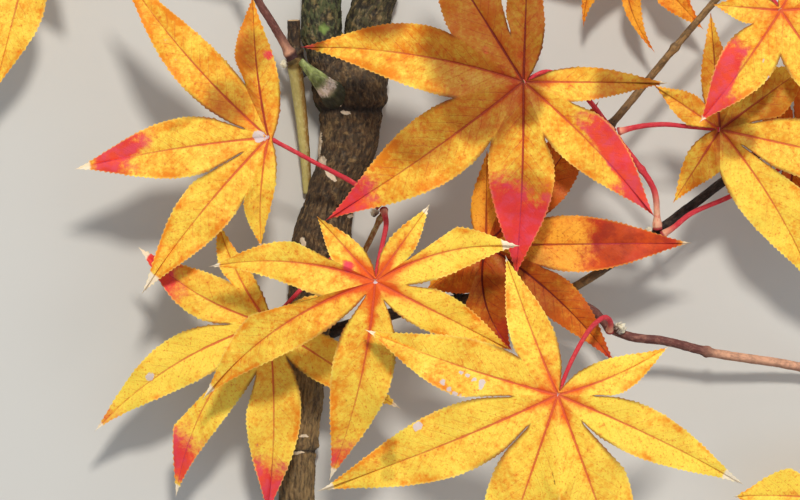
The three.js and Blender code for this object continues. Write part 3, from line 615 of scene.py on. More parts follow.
def bark_colour_group():
    """Group with bark or bare wood's mottled colour and painted shade, its roughness and grain height."""
    inputs = {label: GREY for label in ("Dark", "Main", "Light", "Second", "Scar", "Flank Colour")}
    inputs.update({"Flank": 0.0, "Flank Side": 1.0, "Mottle": 0.5, "Crevice Depth": 0.3,
                   "Grain Size": 0.001})
    tree, graph, given = new_tree("Bark colour", "ShaderNodeTree", inputs, PAINT)
    dark, light = given["Dark"], given["Light"]
    place = graph.read("Bark", "Vector")
    scale = 1.0 / given["Grain Size"]
    x, y, along = place.split()
    spot = place.scaled(scale)
    grain = graph.noise(graph.join(x, y, along * 0.35).scaled(scale), 1.0, 5.0, 0.65)
    streaks = graph.noise(graph.join(x, y, along * 0.1).scaled(scale), 1.1, 4.0, 0.65)
    patches = graph.noise(spot, 0.3, 4.0, 0.65, 0.4)
    moved = graph.add("ShaderNodeVectorMath", {0: spot, 1: (7.3, 2.1, 4.9)}, operation="ADD")
    tans = graph.noise(moved, 0.24, 3.0, 0.6)
    flecks = graph.noise(spot, 1.7, 3.0, 0.6)
    radius = graph.add("ShaderNodeVectorMath", {0: graph.join(x, y, 0.0)}, "Value", operation="LENGTH")
    # Painted shade on one flank of a twig, in the flank colour
    shaded_flank = (x * given["Flank Side"] / (radius + 0.00001)).rise(-0.1, 0.7)
    colour = graph.read("Tone").mix(given["Main"], given["Second"])
    colour = (shaded_flank * given["Flank"]).mix(colour, given["Flank Colour"])
    colour = grain.rise(0.44, 0.78, 0.0, 0.75).mix(colour, light)
    colour = tans.rise(0.56, 0.68, 0.0, 0.55).mix(colour, light)
    colour = (patches.rise(0.46, 0.58) * given["Mottle"]).mix(colour, dark)
    colour = flecks.rise(0.66, 0.76, 0.0, 0.6).mix(colour, light)
    weathered = graph.read("Weathered")
    colour = (weathered * streaks.rise(0.36, 0.62, 0.15, 0.85)).mix(colour, light)
    # Painted shade in the furrows of the bark's relief, less on worn bark
    crevice_shade = graph.read("Crevice").rise(0.4, 0.9) * given["Crevice Depth"] * (1.0 - weathered * 0.6)
    colour = crevice_shade.mix(colour, dark)
    # Painted shade in the creases round the limb and at the feet of twigs and stalks
    colour = (graph.read("Shade") * 0.9).mix(colour, dark)
    scar = graph.read("Scar")
    ragged = (graph.noise(spot, 0.9, 3.0, 0.6) - 0.5) * 1.8
    colour = ((scar + ragged).rise(0.35, 0.75) * scar.rise(0.02, 0.2)).mix(colour, given["Scar"])
    colour = (graph.read("Moss") * 0.8).mix(colour, linear(MOSS_GREEN))
    rings = graph.math("SINE", radius * 9000.0)
    wood = rings.rise(-0.4, 0.9).mix(linear(WOOD_LIGHT), linear(WOOD_RING))
    wood = radius.rise(0.0006, 0.0003).mix(wood, linear(WOOD_HEART))
    colour = graph.read("Cut").mix(colour, wood)
    rough = grain.rise(0.3, 0.7, 0.95, 0.65)
    graph.node("NodeGroupOutput", {0: colour, 1: rough, 2: grain + flecks * 0.5})
    return tree


def leaf_colour_group():
    """Group with a leaf's autumn colours: ribs, side and small veins, blush, dry tips, painted shade."""
    inputs = {**{label: GREY for label in LEAF_PAINTS["gold_leaf"]}, "Vein Pitch": 3.2}
    tree, graph, given = new_tree("Leaf colour", "ShaderNodeTree", inputs, PAINT)
    orange, vein_colour = given["Orange"], given["Vein"]
    along, across, _ = graph.add("ShaderNodeUVMap", uv_map="RibPlace").split()
    share, edge, _ = graph.add("ShaderNodeUVMap", uv_map="LobePlace").split()
    place = graph.add("ShaderNodeTexCoord", None, "Object")
    wobble = graph.noise(place, 450.0) - 0.5
    fine = graph.noise(place, 900.0, 4.0, 0.6)
    broad = graph.noise(place, 110.0, 3.0, 0.55)
    middle = graph.noise(place, 330.0, 3.0, 0.6)
    specks = graph.noise(place, 1900.0)
    amber_shade = graph.read("Amber")
    calm = amber_shade.rise(0.2, 0.8, 1.0, 0.3)
    away = abs(across)

    rib = ((away + wobble * 0.35) / share.rise(0.0, 0.95, 0.33, 0.1)).rise(1.25, 0.55)
    run = along - graph.math("POWER", away, VEIN_CURVE) + wobble * 1.1
    phase = run / given["Vein Pitch"] + graph.math("GREATER_THAN", across, 0.0) * VEIN_STAGGER
    side_gap = abs(graph.math("FRACT", phase) - 0.5) * given["Vein Pitch"]
    side = side_gap.rise(0.26, 0.06) * edge.rise(0.95, 0.35, 0.15, 1.0)
    net = graph.add("ShaderNodeTexVoronoi", {"Vector": graph.join(along, across, 0.0), "Scale": 1.15},
                    "Distance", feature="DISTANCE_TO_EDGE", voronoi_dimensions="2D").rise(0.12, 0.02)

    band = edge.rise(0.55, 0.92) * share.rise(0.3, 0.6) * broad.rise(0.4, 0.6, 0.02, 0.2)
    warm = broad * 0.4 + middle * 0.5 + fine * 0.6 + amber_shade * 0.3 + band
    colour = warm.rise(0.68, 1.12).mix(given["Gold"], orange)
    colour = (net * 0.16).mix(colour, orange)
    colour = specks.rise(0.56, 0.7, 0.0, 0.6).mix(colour, orange)
    colour = specks.rise(0.66, 0.74, 0.0, 0.45).mix(colour, vein_colour)
    colour = fine.rise(0.62, 0.74, 0.0, 0.5).mix(colour, vein_colour)
    colour = (fine.rise(0.42, 0.3, 0.0, 0.2) * calm).mix(colour, given["Edge"])
    flush = graph.read("Flush") + (middle - 0.5) * 0.9
    colour = flush.rise(0.12, 1.0, 0.0, 0.88).mix(colour, linear(FLUSH_RED))
    side_tint = side * middle.rise(0.35, 0.65, 0.08, 0.26) * amber_shade.rise(0.2, 0.7, 1.0, 2.2)
    colour = side_tint.mix(colour, vein_colour)

    ragged = (middle - 0.5) * 1.5 + (fine - 0.5) * 0.9
    blush = (graph.read("Blush") - net * 0.08 + ragged * 0.55).rise(0.2, 0.85)
    red = broad.rise(0.38, 0.6).mix(given["Red"], given["Flame"])
    red = middle.rise(0.42, 0.66, 0.0, 0.6).mix(red, given["Rose"])
    colour = blush.mix(colour, red)
    vein = amber_shade.rise(0.4, 0.9).mix(vein_colour, linear(OLD_VEIN))
    vein = blush.mix(vein, linear(ROSE_VEIN))
    rib_tint = share.rise(0.15, 0.9, 0.85, 0.45) + amber_shade.rise(0.4, 0.8, 0.0, 0.35)
    colour = graph.math("MULTIPLY", rib, rib_tint, clamp=True).mix(colour, vein)
    colour = (graph.read("Parch") + ragged * 0.4).rise(0.35, 0.75).mix(colour, given["Pale"])
    # A paler margin, which also stands as a painted highlight where the blade is out of the painted shade
    rim = edge.rise(0.92, 1.0, 0.0, 0.5) * share.rise(0.2, 0.35) * calm
    colour = rim.mix(colour, given["Edge"])
    # The slits between lobes: a brown edge, darkened further as painted shade from the lobe that lies over
    # the next
    slit_edge_shade = edge.rise(0.86, 1.0, 0.0, 0.85) * share.rise(0.46, 0.3)
    colour = slit_edge_shade.mix(colour, linear(SLIT_EDGE_SHADE))
    # Painted shade: the painted shadows and the shaded sides of amber lobes multiply the colour by the amber
    # shade colour
    shade = graph.read("Shade") + amber_shade.rise(0.3, 1.0) * 0.6 + (broad - 0.5) * 0.5
    shade = shade.rise(0.12, 0.95) * blush.rise(0.2, 0.9, 1.0, 0.5)
    shaded = graph.add("ShaderNodeVectorMath", {0: colour, 1: given["Amber"]}, operation="MULTIPLY")
    colour = shade.mix(colour, shaded)
    colour = (graph.read("Blot") + ragged).rise(0.4, 0.7, 0.0, 0.85).mix(colour, linear(BLOT_BROWN))
    colour = (graph.read("Scar") + ragged).rise(0.45, 0.7, 0.0, 0.9).mix(colour, linear(SCAR_PALE))
    colour = (graph.read("Under") * 0.45).mix(colour, linear(BACK_PALE))
    height = rib * -0.9 + side * -0.55 + net * -0.35 + fine * 0.5
    graph.node("NodeGroupOutput", {0: colour, 1: middle * 0.25 + 0.42, 2: height})
    return tree


def painted(slot, group, values, bump, **shader):
    """The slot's material, which takes its colour, roughness and bump from a node group."""
    name = f"{slot} surface"
    if name in bpy.data.materials:
        return bpy.data.materials[name]
    material = bpy.data.materials.new(name)
    material.use_nodes = True
    material.node_tree.nodes.clear()
    graph = Graph(material.node_tree)
    values = {label: linear(value) if isinstance(value, str) else value for label, value in values.items()}
    source = graph.node("ShaderNodeGroup", values, node_tree=group)
    colour, rough, height = (Wire(graph, source.outputs[label]) for label in PAINT)
    normal = graph.add("ShaderNodeBump", {"Height": height, "Strength": bump[0], "Distance": bump[1]})
    inputs = {"Base Color": colour, "Roughness": rough, "Normal": normal, **shader}
    graph.node("ShaderNodeOutputMaterial", {0: graph.add("ShaderNodeBsdfPrincipled", inputs)})
    return material


def bark_material(slot):
    group = bpy.data.node_groups.get("Bark colour") or bark_colour_group()
    return painted(slot, group, BARKS[slot], (0.6, 0.0002))


def leaf_material(slot, pitch):
    group = bpy.data.node_groups.get("Leaf colour") or leaf_colour_group()
    values = {**LEAF_PAINTS[slot], "Vein Pitch": pitch}
    return painted(slot, group, values, (0.5, 0.00015), **{"Specular IOR Level": 0.2})


def limb_mesh(name, sections, cut_start, cut_end, settings):
    """A limb lying along Y as a fine closed mesh, with its rings, its scars and its cut ends."""
    sections = np.array(sections, dtype=float)
    count = max(8, round((sections[-1, 0] - sections[0, 0]) / settings.row_pitch))
    targets = np.linspace(sections[0, 0], sections[-1, 0], count + 1)
    rows = through(sections[:, 1:], np.interp(targets, sections[:, 0], np.arange(len(sections))))
    sides = settings.limb_sides
    angles = 2 * np.pi * np.arange(sides) / sides
    rings = LIMB_RINGS if name == "limb" else []
    swell = sum((height * bell(targets - at, half) for at, height, half in rings), np.zeros(count + 1))
    steps = [(i, 1.0) for i in range(count + 1)]
    if cut_start:
        steps = [(0, share) for share in CUT_RINGS] + steps
    if cut_end:
        steps += [(count, share) for share in reversed(CUT_RINGS)]
    points, bark, cut = [], [], []
    for index, share in steps:
        middle, wide, thick = rows[index]
        x = (wide + swell[index]) * share * np.cos(angles)
        z = (thick + 0.5 * swell[index]) * share * np.sin(angles)
        y = np.full(sides, targets[index])
        points.append(np.column_stack([middle + x, y, thick + z]))
        bark.append(np.column_stack([x, z, y]) * MM)
        cut.append(np.full(sides, float(share < 1)))
    points = np.vstack(points)
    points[:, 2] = np.maximum(points[:, 2], LIMB_LOWEST)
    ids = np.arange(len(points)).reshape(-1, sides)
    faces = quads_of(np.column_stack([ids, ids[:, 0]])).tolist()
    mesh = mesh_of(name, points, faces + [ids[0].tolist(), ids[-1][::-1].tolist()])
    x, y, z = points.T
    on_top = z > TOP_SIDE
    scar = np.zeros(len(points))
    for at_x, at_y, half_x, half_y, turn in LIMB_SCARS:
        a = math.radians(turn)
        u = (x - at_x) * math.cos(a) + (y - at_y) * math.sin(a)
        v = (y - at_y) * math.cos(a) - (x - at_x) * math.sin(a)
        scar = np.maximum(scar, (1 - smooth(0.6, 1.2, np.hypot(u / half_x, v / half_y))) * on_top)
    moss_x, moss_y, moss_reach = FORK_MOSS
    near = np.hypot(x - moss_x, y - moss_y) / moss_reach + 0.3 * np.sin(x * 3.1 + 1.0) * np.cos(y * 2.3)
    put_values(mesh, "FLOAT_VECTOR", Bark=np.vstack(bark))
    put_values(mesh, Cut=np.concatenate(cut), Scar=scar, Moss=(1 - smooth(0.3, 1.1, near)) * on_top,
               Tone=smooth(GREEN_FROM, GREEN_FULL, y) * FORK_GREEN[name])
    if name == "limb":
        # Painted shade in the creases of the sunken rings
        creases = [bell(y - at, half) for at, height, half in rings if height < 0]
        worn = LEAST_WORN + MORE_WORN * smooth(WORN_FROM, WORN_FULL, -y)
        put_values(mesh, Shade=np.max(creases, axis=0), Weathered=worn)
    return mesh


def twig_line(name, path, radius, nodes, tone, step, sink, flares, crease):
    """A line of points along a twig, with its thickness, its cut end and its tone at each of them."""
    path = [np.array(p, dtype=float) for p in path]
    start = path[0] - sink * (path[1] - path[0]) / np.linalg.norm(path[1] - path[0])
    points, runs = even_path([start] + path, step)
    share = runs / runs[-1]
    girth = radius[0] + (radius[1] - radius[0]) * share
    for at in nodes:
        girth += NODE_SWELL * radius[0] * bell(runs - at * runs[-1], NODE_HALF)
    girth += flares[0] * np.exp(-runs / FOOT_RUN) + flares[1] * np.exp(-(runs[-1] - runs) / END_RUN)
    last = points[-1] - points[-2]
    last /= np.linalg.norm(last)
    tones = smooth(tone[0], tone[1], share) if tone[1] > tone[0] else 1 - smooth(tone[1], tone[0], share)
    rings = len(TWIG_CUT)
    points = np.vstack([points] + [points[-1] + last * rise for rise, _ in TWIG_CUT])
    girth = np.concatenate([girth, [girth[-1] * part for _, part in TWIG_CUT]])
    tones = np.concatenate([tones, np.zeros(rings)])
    cut = np.concatenate([np.zeros(len(runs)), np.ones(rings)])
    runs = np.concatenate([runs, np.full(rings, runs[-1])])
    # Painted shade in the crease at the foot
    shade = 1 - smooth(*crease, runs)
    strength, beyond, half = PALE_RING
    ring = strength * (crease[1] > SCARRED_FOOT) * bell(runs - crease[1] - beyond, half)
    mesh = mesh_of(name, points, [], [(i, i + 1) for i in range(len(points) - 1)])
    put_values(mesh, Girth=girth * MM, Cut=cut, Shade=shade, Tone=tones * (1 - shade), Scar=ring)
    return mesh


def half_width(s, shoulder, wide):
    """The half width of a lobe at s, from 0 level with the notch to 1 at the tip."""
    belly = max(0.0, wide - SHOULDER_SHARE * shoulder) / BELLY_PEAK
    return shoulder * (1 - s) ** SHOULDER_POWER + belly * s * (1 - s) ** BELLY_POWER


def lobe_arms(hub, stalk, lobes):
    """Reach, direction, height, width, bow, notch share and turn of each lobe, and the notches."""
    hub_x, hub_y, hub_z = hub
    arms = []
    for x, y, z, wide, bow, *notch in lobes:
        reach = math.hypot(x - hub_x, y - hub_y)
        along = ((x - hub_x) / reach, (y - hub_y) / reach)
        arms.append({"reach": reach, "along": along, "tip_z": z, "wide": wide, "bow": bow,
                     "notch": notch[0] if notch else NOTCH_SHARE, "turn": math.atan2(along[1], along[0])})
    notches = []
    for arm, after in zip(arms, arms[1:]):
        turn = arm["turn"] + ((after["turn"] - arm["turn"]) % (2 * math.pi)) / 2
        reach = arm["notch"] * (arm["reach"] + after["reach"]) / 2
        notches.append((turn, reach, LOBE_ARCH * reach))
    notches.append((math.atan2(stalk[-1][1] - hub_y, stalk[-1][0] - hub_x), BASE_REACH, 0.0))
    return arms, [np.array([hub_x + reach * math.cos(turn), hub_y + reach * math.sin(turn), hub_z + rise])
                  for turn, reach, rise in notches]


def full_tints(row):
    """A lobe's six tints, with those that its row leaves out put past its tip."""
    amber_shades, rest = row[:2], row[2:]
    reds = rest[:2] if len(rest) > 1 else (NO_TINT, NO_TINT)
    end = rest[2] if len(rest) == 4 else NO_TINT
    dry = rest[-1] if len(rest) in (1, 3, 4) else NO_TINT
    return (*amber_shades, *reds, end, dry)


def lobe_grid(hub, flush, arm, corners, tints, settings, luck):
    """Rows of places from the hub to a lobe's tip, with their shares and their distances from the rib."""
    hub = np.array(hub, dtype=float)
    ax, ay = arm["along"]
    reach, bow = arm["reach"], arm["bow"]

    def bend(u):
        return bow * 4 * u * (1 - u)

    def height(u, offset):
        fall = (arm["tip_z"] - hub[2]) * np.maximum(u, 0) ** LOBE_DROOP
        return hub[2] + fall + LOBE_ARCH * reach * u * (1 - u) + LOBE_FOLD * np.abs(offset)

    def spot(u, offset):
        sideways = offset + bend(u)
        return np.array([hub[0] + ax * reach * u - ay * sideways, hub[1] + ay * reach * u + ax * sideways])

    sides = []
    for corner, sign in zip(corners, (-1, 1)):
        dx, dy = corner[0] - hub[0], corner[1] - hub[1]
        start = (dx * ax + dy * ay) / reach
        left = dy * ax - dx * ay
        shoulder = abs(left - bend(start))
        slope = abs(left) / (start * reach) if start > 0 else math.inf
        sides.append((sign, corner, start, shoulder, slope, corner[2] - height(start, shoulder)))
    middle = (sides[0][2] + sides[1][2]) / 2
    count = 2 * max(8, round(reach * (1 - middle) / settings.row_pitch / 2))
    columns = np.concatenate([-ACROSS[::-1], ACROSS[1:]])
    rows = PALM_ROWS + count + 1
    place = np.zeros((rows, len(columns), 3))
    shares = np.zeros((rows, len(columns)))
    for sign, corner, start, shoulder, slope, step in sides:
        pick = np.flatnonzero(columns * sign >= 0)
        t = np.abs(columns[pick])
        margin = np.argmax(t)
        for r in range(PALM_ROWS + 1):
            f = r / PALM_ROWS
            u = f * middle
            near = np.array([*spot(u, 0.0), height(u, 0.0)])
            far = hub + f * (corner - hub)
            far[2] += settings.palm_rise * math.sin(math.pi * f) * f
            place[r, pick] = near + (far - near) * t[:, None]
            shares[r, pick] = u + (f * start - u) * t
        phases = luck.uniform(0, 2 * math.pi, 2)
        sizes = luck.uniform(*TOOTH_SIZES, count + 1)
        for k in range(1, count + 1):
            s = k / count
            u_mid = middle + (1 - middle) * s
            u_far = start + (1 - start) * s
            room = slope * reach * u_far - NOTCH_CLEAR - sign * bend(u_far)
            wide = min(half_width(s, shoulder, arm["wide"]), room)
            tooth = settings.tooth_depth * smooth(0.0, 0.12, s) * (1 - smooth(0.9, 1.0, s))
            u = u_mid + (u_far - u_mid) * t
            offset = sign * wide * t
            if k % 2 and k < count:
                offset[margin] += sign * sizes[k] * tooth
                u[margin] += TOOTH_LEAN * tooth / reach
            else:
                offset[margin] -= sign * TOOTH_ROOT * tooth
            wave = np.sin(u * reach / settings.wave_length * 2 * math.pi + phases[0])
            z = height(u, offset) + step * t * (1 - s) ** 4
            z += settings.tip_curl * math.sin(phases[1]) * s ** 4
            z += settings.wave_height * wave * t ** 2 * smooth(0.05, 0.3, s) * min(1, wide / WAVE_FULL_WIDTH)
            place[PALM_ROWS + k, pick] = np.column_stack([*spot(u, offset), z])
            shares[PALM_ROWS + k, pick] = u
    dx, dy = place[:, :, 0] - hub[0], place[:, :, 1] - hub[1]
    along = dx * ax + dy * ay
    u = along / reach
    across = dy * ax - dx * ay - bend(u)
    away, out = np.abs(across), np.hypot(dx, dy)
    t = np.abs(columns) * np.ones_like(shares)
    palm_t = t * np.minimum(1, np.arange(rows) / PALM_ROWS)[:, None]
    phase = ((along - away ** VEIN_CURVE) / settings.vein_pitch + VEIN_STAGGER * (across > 0)) % 1.0
    quilt = settings.quilt_height * np.sin(math.pi * phase) ** 2
    quilt = quilt * np.clip(4 * t * (1 - t), 0, 1) * smooth(0.0, 3.0, away)
    groove = -settings.rib_groove * bell(away, GROOVE_HALF) * smooth(0.0, 0.06, u) * (1 - smooth(0.8, 1, u))
    keel = -settings.rib_keel * bell(away, KEEL_HALF) * smooth(0.0, 0.05, u) * (1 - smooth(0.3, 1.05, u))
    to_left = smooth(0.35, 0.65, (columns + 1) / 2) * np.ones_like(shares)
    amber_shade_right, amber_shade_left, red_right, red_left, red_end, dry = full_tints(tints)
    red_from = red_right + (red_left - red_right) * to_left
    return {
        "place": place, "top": quilt + groove, "under": quilt * 0.6 + keel,
        "RibPlace": np.stack([along, across], axis=-1), "LobePlace": np.stack([shares, palm_t], axis=-1),
        "Amber": amber_shade_right + (amber_shade_left - amber_shade_right) * to_left,
        "Blush": smooth(-0.16, 0.12, shares - red_from) * (1 - smooth(-0.06, 0.05, shares - red_end)),
        "Parch": smooth(-0.02, 0.03, shares - dry),
        "Flush": flush * (0.8 * bell(out, FLUSH_REACH)
                          + 0.75 * bell(away, RIB_FLUSH) * (1 - smooth(0.1, 0.95, u))),
        "Loose": smooth(1.0, 9.0, out),
    }


def blade_mesh(name, leaf, settings):
    """A leaf blade as one thin closed mesh, with the places and the tints that its material reads."""
    hub, flush, _, stalk, lobes = leaf
    arms, notches = lobe_arms(hub, stalk, lobes)
    luck = np.random.default_rng(sum(ord(letter) for letter in name))
    grids = [lobe_grid(hub, flush, arm, (notches[i - 1], notches[i]), TINTS[name][i], settings, luck)
             for i, arm in enumerate(arms)]

    def gather(key):
        return np.vstack([g[key].reshape(-1, g[key].shape[-1] if g[key].ndim == 3 else 1) for g in grids])

    place = gather("place")
    quads, first = [], 0
    for grid in grids:
        rows, columns = grid["place"].shape[:2]
        ids = first + np.arange(rows * columns).reshape(rows, columns)
        quads += quads_of(ids).tolist()
        first += rows * columns
    _, leaders, merged = np.unique(np.round(place[:, :2] * MERGE_STEPS).astype(np.int64), axis=0,
                                   return_index=True, return_inverse=True)
    merged = merged.ravel()
    count = len(leaders)
    faces = []
    for quad in quads:
        corners = []
        for corner in quad:
            if not corners or merged[corner] != merged[corners[-1]]:
                corners.append(corner)
        if merged[corners[0]] == merged[corners[-1]]:
            corners = corners[:-1]
        if len(corners) > 2:
            faces.append(corners)
    edges = {(merged[a], merged[b]): (a, b) for corners in faces
             for a, b in zip(corners, corners[1:] + corners[:1])}
    rim = [(a, b) for (m, n), (a, b) in edges.items() if (n, m) not in edges]
    base = place[leaders]
    above, below = base.copy(), base.copy()
    rise = settings.blade_thick / 2 + gather("top")[leaders, 0]
    above[:, 2] += rise
    below[:, 2] += np.minimum(gather("under")[leaders, 0] - settings.blade_thick / 2,
                              rise - 0.6 * settings.blade_thick)
    under = [corners[::-1] for corners in faces]
    merged = merged.tolist()
    whole = [[merged[c] for c in corners] for corners in faces]
    whole += [[merged[c] + count for c in corners] for corners in under]
    whole += [[merged[a], merged[a] + count, merged[b] + count, merged[b]] for a, b in rim]
    mesh = mesh_of(name, np.vstack([above, below]), whole)
    origins = [c for corners in faces + under + [(a, a, b, b) for a, b in rim] for c in corners]
    for label in ("RibPlace", "LobePlace"):
        layer = mesh.uv_layers.new(name=label)
        layer.data.foreach_set("uv", gather(label)[origins].astype(np.float32).ravel())
    values = {label: gather(label)[leaders, 0] for label in ("Blush", "Amber", "Parch", "Flush", "Loose")}
    values.update({label: np.zeros(count) for label in ("Scar", "Blot", "Shade")})
    for x, y, radius, *amounts in MARKS.get(name, ()):
        near = 1 - smooth(0.5, 1.15, np.hypot(base[:, 0] - x, base[:, 1] - y) / radius)
        for label, amount in zip(("Scar", "Blot", "Blush"), amounts):
            values[label] = np.maximum(values[label], amount * near)
    # Painted shadows that other leaves and stalks cast on the blade
    for x, y, radius, amount in PAINTED_SHADOWS.get(name, ()):
        near = 1 - smooth(0.55, 1.2, np.hypot(base[:, 0] - x, base[:, 1] - y) / radius)
        values["Shade"] = np.maximum(values["Shade"], amount * near)
    put_values(mesh, **{label: np.tile(numbers, 2) for label, numbers in values.items()},
               Under=np.repeat([0.0, 1.0], count))
    return mesh


def bud_mesh(name, at, size, turn, pale):
    """A pointed bud with pairs of overlapping scales, crossed pair by pair."""
    points, faces, tones = [], [], []
    grid = SCALE_COLUMNS * SCALE_ROWS
    ids = np.arange(grid).reshape(SCALE_ROWS, SCALE_COLUMNS)
    loop = [*ids[0], *ids[1:, -1], *ids[-1, -2::-1], *ids[-2:0:-1, 0]]
    for scale in range(2 * BUD_PAIRS):
        pair, half = divmod(scale, 2)
        middle = math.pi * half + math.pi / 2 * (pair % 2)
        reach = 0.45 + 0.19 * pair
        first = len(points)
        for inset in (0.0, -SCALE_THICK):
            for v in np.linspace(0, 1, SCALE_ROWS):
                for w in np.linspace(-1, 1, SCALE_COLUMNS):
                    a = middle + w * SCALE_SPREAD * (1 - 0.96 * v ** 2.2)
                    z = -0.9 + (0.3 + reach * 1.5) * v
                    r = math.sqrt(max(0.0, 1 - min(1, abs(z + 0.15)) ** 2.2)) * (1.08 - 0.07 * pair) + inset
                    r = max(0.02, r * (1 + 0.05 * (1 - w * w)) + 0.05 * v)
                    points.append((r * math.cos(a), z, r * math.sin(a)))
                    tones.append(1 - smooth(pale - 0.2, pale + 0.15, v))
        outside = np.roll(quads_of(ids), -1, axis=1) + first
        faces += outside.tolist() + (outside[:, ::-1] + grid).tolist()
        for a, b in zip(loop, loop[1:] + loop[:1]):
            faces.append([int(corner) + first for corner in (a, b, b + grid, a + grid)])
    points = np.array(points)
    angle = math.radians(turn)
    x, y, z = (points * np.array(size)).T
    turned = [x * math.cos(angle) - y * math.sin(angle), x * math.sin(angle) + y * math.cos(angle), z]
    mesh = mesh_of(name, np.column_stack(turned) + np.array(at), faces)
    put_values(mesh, "FLOAT_VECTOR", Bark=points * MM)
    none = np.zeros(len(points))
    put_values(mesh, Tone=np.clip(tones, 0, 1), Cut=none, Scar=none, Crevice=none)
    mesh.shade_smooth()
    return mesh


class MapleWoodSettings(bpy.types.PropertyGroup):
    """Sizes of the wood's surface, in millimetres where they are lengths on the source's scale."""

    row_pitch: FloatProperty(name="Row pitch", description="Distance between rows of the limb's mesh",
                             default=0.4, min=0.2)
    limb_sides: IntProperty(name="Limb sides", description="Faces round the limb", default=150, min=12)
    twig_sides: IntProperty(name="Twig sides", description="Faces round a twig", default=20, min=6)
    twig_step: FloatProperty(name="Twig step", description="Distance between a twig's rows",
                             default=0.4, min=0.1)
    ridge_height: FloatProperty(name="Ridge height", description="Height of the limb's bark ridges",
                                default=0.0005, subtype="DISTANCE", unit="LENGTH")
    ridge_size: FloatProperty(name="Ridge size", description="Breadth of the limb's bark ridges",
                              default=0.00085, subtype="DISTANCE", unit="LENGTH")
    lump_height: FloatProperty(name="Lump height", description="Height of the limb's lumps",
                               default=0.0012, subtype="DISTANCE", unit="LENGTH")
    twig_relief: FloatProperty(name="Twig relief", description="Height of the ridges on a twig",
                               default=0.00012, subtype="DISTANCE", unit="LENGTH")


class MapleLeafSettings(bpy.types.PropertyGroup):
    """Sizes of a leaf blade's fine shape, in millimetres."""

    row_pitch: FloatProperty(name="Row pitch", description="Distance between rows; two rows make a tooth",
                             default=0.62, min=0.2)
    blade_thick: FloatProperty(name="Thickness", description="Thickness of a blade", default=0.34, min=0.05)
    tooth_depth: FloatProperty(name="Tooth depth", description="How far a margin's teeth stand out",
                               default=0.22, min=0.0)
    vein_pitch: FloatProperty(name="Vein pitch", description="Distance between side veins",
                              default=3.2, min=0.5)
    quilt_height: FloatProperty(name="Quilting", description="Rise between side veins", default=0.22)
    rib_groove: FloatProperty(name="Rib groove", description="Depth of a midrib's groove", default=0.16)
    rib_keel: FloatProperty(name="Rib keel", description="Height of a midrib under the blade", default=0.45)
    palm_rise: FloatProperty(name="Palm rise", description="Rise of the blade between ribs", default=0.5)
    wave_length: FloatProperty(name="Wave length", description="Length of the margin's waves",
                               default=15.0, min=1)
    wave_height: FloatProperty(name="Wave height", description="Height of the margin's waves", default=0.7)
    tip_curl: FloatProperty(name="Tip curl", description="Curl of a lobe's tip", default=1.2)


class MapleStageSettings(bpy.types.PropertyGroup):
    """Floor, lights and camera."""

    floor_colour: FloatVectorProperty(name="Floor", description="Colour of the floor", subtype="COLOR",
                                      size=3, default=(0.62, 0.61, 0.58), min=0, max=1)
    key_power: FloatProperty(name="Key light", description="Power of the main light in watts", default=16.8)
    fill_power: FloatProperty(name="Fill light", description="Power of the fill light in watts", default=4.5)
    room_light: FloatProperty(name="Room light", description="Strength of the light from all round",
                              default=0.42)
    camera_height: FloatProperty(name="Camera height", description="Height of the camera over the floor",
                                 default=3.04, subtype="DISTANCE", unit="LENGTH")
    lens: FloatProperty(name="Lens", description="Focal length in millimetres", default=540.0)


class MAPLE_OT_limb(bpy.types.Operator):
    """Makes the limb and its two forks with rough bark and cut ends"""

    bl_idname = "maple.limb"
    bl_label = "Limb and forks"

    def execute(self, context):
        wood = context.scene.maple_wood
        tree = limb_tree()
        for seed, (name, rows) in enumerate({"limb": LIMB_SECTIONS, **FORKS}.items()):
            item = new_object(f"{name}_bark", limb_mesh(name, rows, name == "limb", name != "limb", wood))
            run_tree(item, tree, {
                "Ridge Height": wood.ridge_height, "Ridge Size": wood.ridge_size, "Ridge Stretch": 1.9,
                "Lump Height": wood.lump_height, "Lump Size": 0.0042, "Seed": 0.1 * seed,
                "Material": bark_material("bark")})
            finish_piece(item, name, 60)
        return {"FINISHED"}


class MAPLE_OT_twigs(bpy.types.Operator):
    """Grows the twigs, the spur, the shoots and the dead stub along their paths"""

    bl_idname = "maple.twigs"
    bl_label = "Twigs and shoots"

    def execute(self, context):
        wood = context.scene.maple_wood
        tree = bpy.data.node_groups.get("Twig tube") or twig_tree()
        for seed, (name, row) in enumerate(SIDE_WOOD.items()):
            path, radius, slot, nodes, tone, crease, rough = row
            flare = 0.0 if name == "hanging_shoot" else TWIG_FLARE * radius[0]
            line = twig_line(name, path, radius, nodes, tone, wood.twig_step, TWIG_SINK, (flare, 0.0),
                             crease)
            item = new_object(f"{name}_bark", line)
            run_tree(item, tree, {
                "Sides": wood.twig_sides + 4, "Ridge Height": wood.twig_relief * rough,
                "Ridge Size": 0.0005 * rough, "Ridge Stretch": 5.0,
                "Lump Height": wood.twig_relief * 1.6 * rough, "Lump Size": 0.0028,
                "Seed": 0.3 + 0.1 * seed, "Material": bark_material(slot)})
            finish_piece(item, name, 60)
        return {"FINISHED"}


class MAPLE_OT_buds(bpy.types.Operator):
    """Sets the buds at the nodes, each with its crossed pairs of scales"""

    bl_idname = "maple.buds"
    bl_label = "Buds"

    def execute(self, context):
        for name, row in BUDS.items():
            item = new_object(f"{name}_scales", bud_mesh(name, *row))
            item.data.materials.append(bark_material("bud"))
            finish_piece(item, name, 50)
        return {"FINISHED"}


